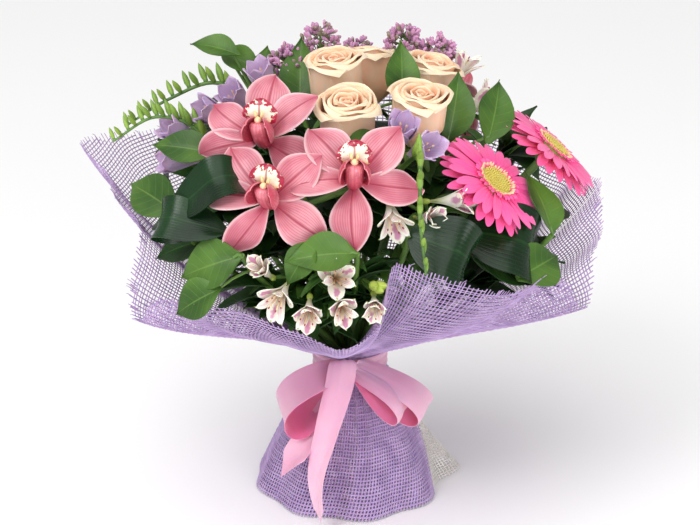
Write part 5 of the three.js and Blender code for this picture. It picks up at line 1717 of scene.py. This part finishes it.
# %% Ribbon strips
def strip_form(path, width, across, pinch=(1.0, 1.0), ripple=1.2, point=0.0, taper=0.0, gather=0.12):
    """across is the width's direction at even steps; pinch is how much either end is gathered in."""
    across = np.array(across, float)

    def form(s, side):
        here = s - point * np.abs(side) * s**4
        centre = smooth_curve(path, here)
        ahead = smooth_curve(path, np.clip(s + 0.01, 0, 1)) - smooth_curve(path, np.clip(s - 0.01, 0, 1))
        ahead /= np.linalg.norm(ahead, axis=1, keepdims=True)
        direction = smooth_curve(across, s)
        direction -= (direction * ahead).sum(1, keepdims=True) * ahead
        direction /= np.linalg.norm(direction, axis=1, keepdims=True)
        out = np.cross(ahead, direction)
        held = np.maximum((1 - pinch[0]) * np.exp(-s / gather), (1 - pinch[1]) * np.exp(-(1 - s) / gather))
        fold = ripple * held * np.cos(3.2 * np.pi * side) + 0.9 * np.sin(6 * s + 2.4 * side)
        half = width / 2 * (1 - held) * (1 - taper * s)
        return centre + direction * (side * half)[:, None] + out * fold[:, None]

    return form


def loop_path(start, way, across, length, swell, droop):
    """A loop seen from its side: out along one strand, round the end and back along the other."""
    way, across = unit(np.array(way, float)), unit(np.array(across, float))
    out = np.cross(way, across)
    out *= np.sign(out[2])
    turn = np.linspace(0, 2 * math.pi, 19)
    far = (1 - np.cos(turn)) / 2
    bulge = np.outer(swell * np.sin(turn) * far**0.8, out)
    path = np.array(start, float) + np.outer(far * length, way) + bulge
    return path - np.outer(droop * far**2, [0, 0, 1])


# %% The paths of the loops, the tails and the knot
# Each loop: start, way, direction of the width, length, swell, droop, width
LOOPS = [((-4, -41, 113), (-0.76, -0.3, -0.57), (-0.16, 0.93, 0.33), 59, 22, 2, 34),
         ((4, -40, 113), (0.84, -0.18, -0.51), (0.45, 0.86, 0.24), 62, 14, 2, 29),
         ((3, -45, 111), (0.74, -0.42, -0.53), (0.45, 0.86, 0.24), 48, 11, 2, 19)]
TAIL = [[-4, -41, 116], [-5, -52, 121], [-8, -63, 107], [-17, -75, 76], [-25, -84, 40], [-22, -90, 8]]
SHORT_TAIL = [[-10, -46, 98], [-24, -56, 74], [-38, -69, 58], [-51, -82, 42]]
TAIL_ACROSS = [[1, -0.1, 0], [1, -0.2, 0], [0.8, -0.5, 0], [0.6, -0.7, 0]]
SHORT_ACROSS = [[0.6, -0.6, 0.3], [0.8, -0.4, 0.3], [0.7, -0.4, 0.2]]
KNOT_AT, KNOT_DEPTH, KNOT_HEIGHT = np.array([-4, -35, 104]), 6.6, 7.5
KNOT_ACROSS = [[1, 0, 0], [1, 0, 0]]
BAND_R, BAND_HALF = 28.2, 7
knot_turn = [KNOT_AT + [0, KNOT_DEPTH * math.sin(t), KNOT_HEIGHT * math.cos(t)]
             for t in np.linspace(0, 2 * math.pi, 13)]


def band_form(s, side):
    turn = 360 * s
    wrinkle = 0.7 * np.cos(2.6 * np.pi * side + 0.6 * np.sin(np.radians(3 * turn)))
    return around(turn, BAND_R + wrinkle, WAIST_Z + BAND_HALF * side)


# %% Model the strips: the band, the loops, the tails and the knot
SATIN_THICKNESS = 0.35


def strip(rows, form):
    return sheet_shape(rows, 12, form, SATIN_THICKNESS, 1.0)


band = strip(96, band_form)
loops = [strip(64, strip_form(loop_path(start, way, across, *sizes), width, [across] * 2, (0.4, 0.35)))
         for start, way, across, *sizes, width in LOOPS]
tails = [strip(56, strip_form(TAIL, 31, TAIL_ACROSS, (0.25, 1.0), point=0.06, taper=0.6, gather=0.2)),
         strip(40, strip_form(SHORT_TAIL, 24, SHORT_ACROSS, (0.5, 1.0), point=0.25))]
knot = strip(40, strip_form(knot_turn, 14, KNOT_ACROSS, (0.9, 0.9)))
print("ribbon strips:", 2 + len(loops) + len(tails))

# %% [markdown]
# Satin has one shiny side, and its threads run across the ribbon. The deeper pink of its inside is painted
# light: it stands for the light that has passed through the cloth, and it is a second finish on the lower
# face. The left loop shows its inside outwards, so its two finishes change places.

# %% Satin, and the ribbon as one piece
def satin_look(name, light, dark, thread):
    look = Look(name, Roughness=0.4, Sheen_Weight=0.4, Sheen_Roughness=0.3, Anisotropic=0.5,
                Subsurface_Weight=0.3, Subsurface_Scale=0.004)
    along, across = look.marks()
    soft = look.mix(look.band(look.noise(20), 0.3, 0.7), paint(light), paint(dark))
    weave = look.sum("SINE", look.sum("MULTIPLY", across, 700.0))
    look.set("Base Color", look.mix(look.band(weave, 0.4, 1.0, 0.0, 0.2), soft, paint(thread)))
    creases = look.noise(30, 3.0, (1, 1, 0.35))
    look.bump(look.sum("ADD", look.sum("MULTIPLY", weave, 0.06), creases), 0.3, 1.2)
    return look.material


SATIN = satin_look("satin_ribbon", "#f3b9cf", "#eba4c1", "#f8d0df")
# The ribbon's inside: a deeper pink, painted light that stands for light passed through the cloth
SATIN_INSIDE_PAINTED_LIGHT = satin_look("satin_ribbon_inside_painted_light", "#ec86b0", "#e46a9c", "#f3a9c6")
left_loop, *right_loops = loops
ribbon_parts = [part(band, SATIN, 0.5, SATIN_INSIDE_PAINTED_LIGHT), part(left_loop, SATIN_INSIDE_PAINTED_LIGHT, 0.5, SATIN)]
ribbon_parts += [part(shape, SATIN, 0.5, SATIN_INSIDE_PAINTED_LIGHT) for shape in (*right_loops, *tails, knot)]
ribbon = make_piece("ribbon_tied", ribbon_parts, ["ribbon_bow"])

# %% [markdown]
# Inside the net, unseen, a jute twine holds the stems together. It is a tube along a helix, a little
# thicker and thinner by turns, as a spun twine is.

# %% The twine that binds the stems, inside the net
TWINE_TURNS, TWINE_R, TWINE_THICKNESS = 5, 21.6, 0.85
TWINE_FOOT, TWINE_RISE = 99.8, 8.4
way_round = np.linspace(0, 1, 40 * TWINE_TURNS + 1)
twine_path = around(360 * TWINE_TURNS * way_round, TWINE_R, TWINE_FOOT + TWINE_RISE * way_round)
twine_radii = TWINE_THICKNESS + 0.12 * np.sin(160 * way_round)
make_piece("twine_turns", [part(tube(twine_path, twine_radii, 8), JUTE, 0.5)],
           ["binding_twine"])

# %% [markdown]

# %% [markdown]
# ## Floor, light and camera
#
# The photograph has a white ground and soft light from all round, a little stronger from above and the
# left. A white world alone would leave no shadow under the skirt, so a broad key lamp and a sun with a
# wide angle give the soft one that is there. The camera looks down by twenty degrees.

# %% Floor and light
bpy.ops.mesh.primitive_plane_add(size=14, location=(0, 2, -0.0005))
floor = bpy.context.object
floor.name = "studio_floor"
floor_look = Look("studio_floor", Base_Color=paint("#fbfafa"), Roughness=0.7)
floor_look.bump(floor_look.noise(8), 0.02, 1.0)
floor.data.materials.append(floor_look.material)

world = bpy.data.worlds.new("soft_white")
world.use_nodes = True
world.node_tree.nodes["Background"].inputs["Color"].default_value = (1, 1, 1, 1)
world.node_tree.nodes["Background"].inputs["Strength"].default_value = 0.5
scene.world = world


def lamp(name, place, aim, size, energy):
    light = bpy.data.lights.new(name, "AREA")
    light.size, light.energy = size, energy
    obj = bpy.data.objects.new(name, light)
    scene.collection.objects.link(obj)
    obj.location = place
    way = Vector(aim) - Vector(place)
    obj.rotation_euler = way.to_track_quat("-Z", "Y").to_euler()


lamp("key", (-1.3, -1.3, 1.7), (0, 0, 0.2), 1.0, 20)
lamp("fill", (0.7, -1.8, 0.35), (0, 0, 0.2), 1.4, 25)
sky = bpy.data.lights.new("ceiling", "SUN")
sky.energy, sky.angle = 1.35, math.radians(60)
ceiling = bpy.data.objects.new("ceiling", sky)
scene.collection.objects.link(ceiling)
ceiling.rotation_euler = (math.radians(18), math.radians(-12), 0)

# %% Camera
LENS, SENSOR = 83.6, 36
CAMERA_AT, LOOKS_DOWN = (0, -1.150, 0.610), 20.5
camera_data = bpy.data.cameras.new("camera")
camera_data.lens = LENS
camera_data.sensor_width = SENSOR
camera = bpy.data.objects.new("camera", camera_data)
scene.collection.objects.link(camera)
camera.location = CAMERA_AT
camera.rotation_euler = (math.radians(90 - LOOKS_DOWN), 0, 0)
scene.camera = camera
scene.view_settings.view_transform = "Standard"

# %% [markdown]
# Last, the number of triangles in all is printed.

print("triangles in all:", totals["triangles"])
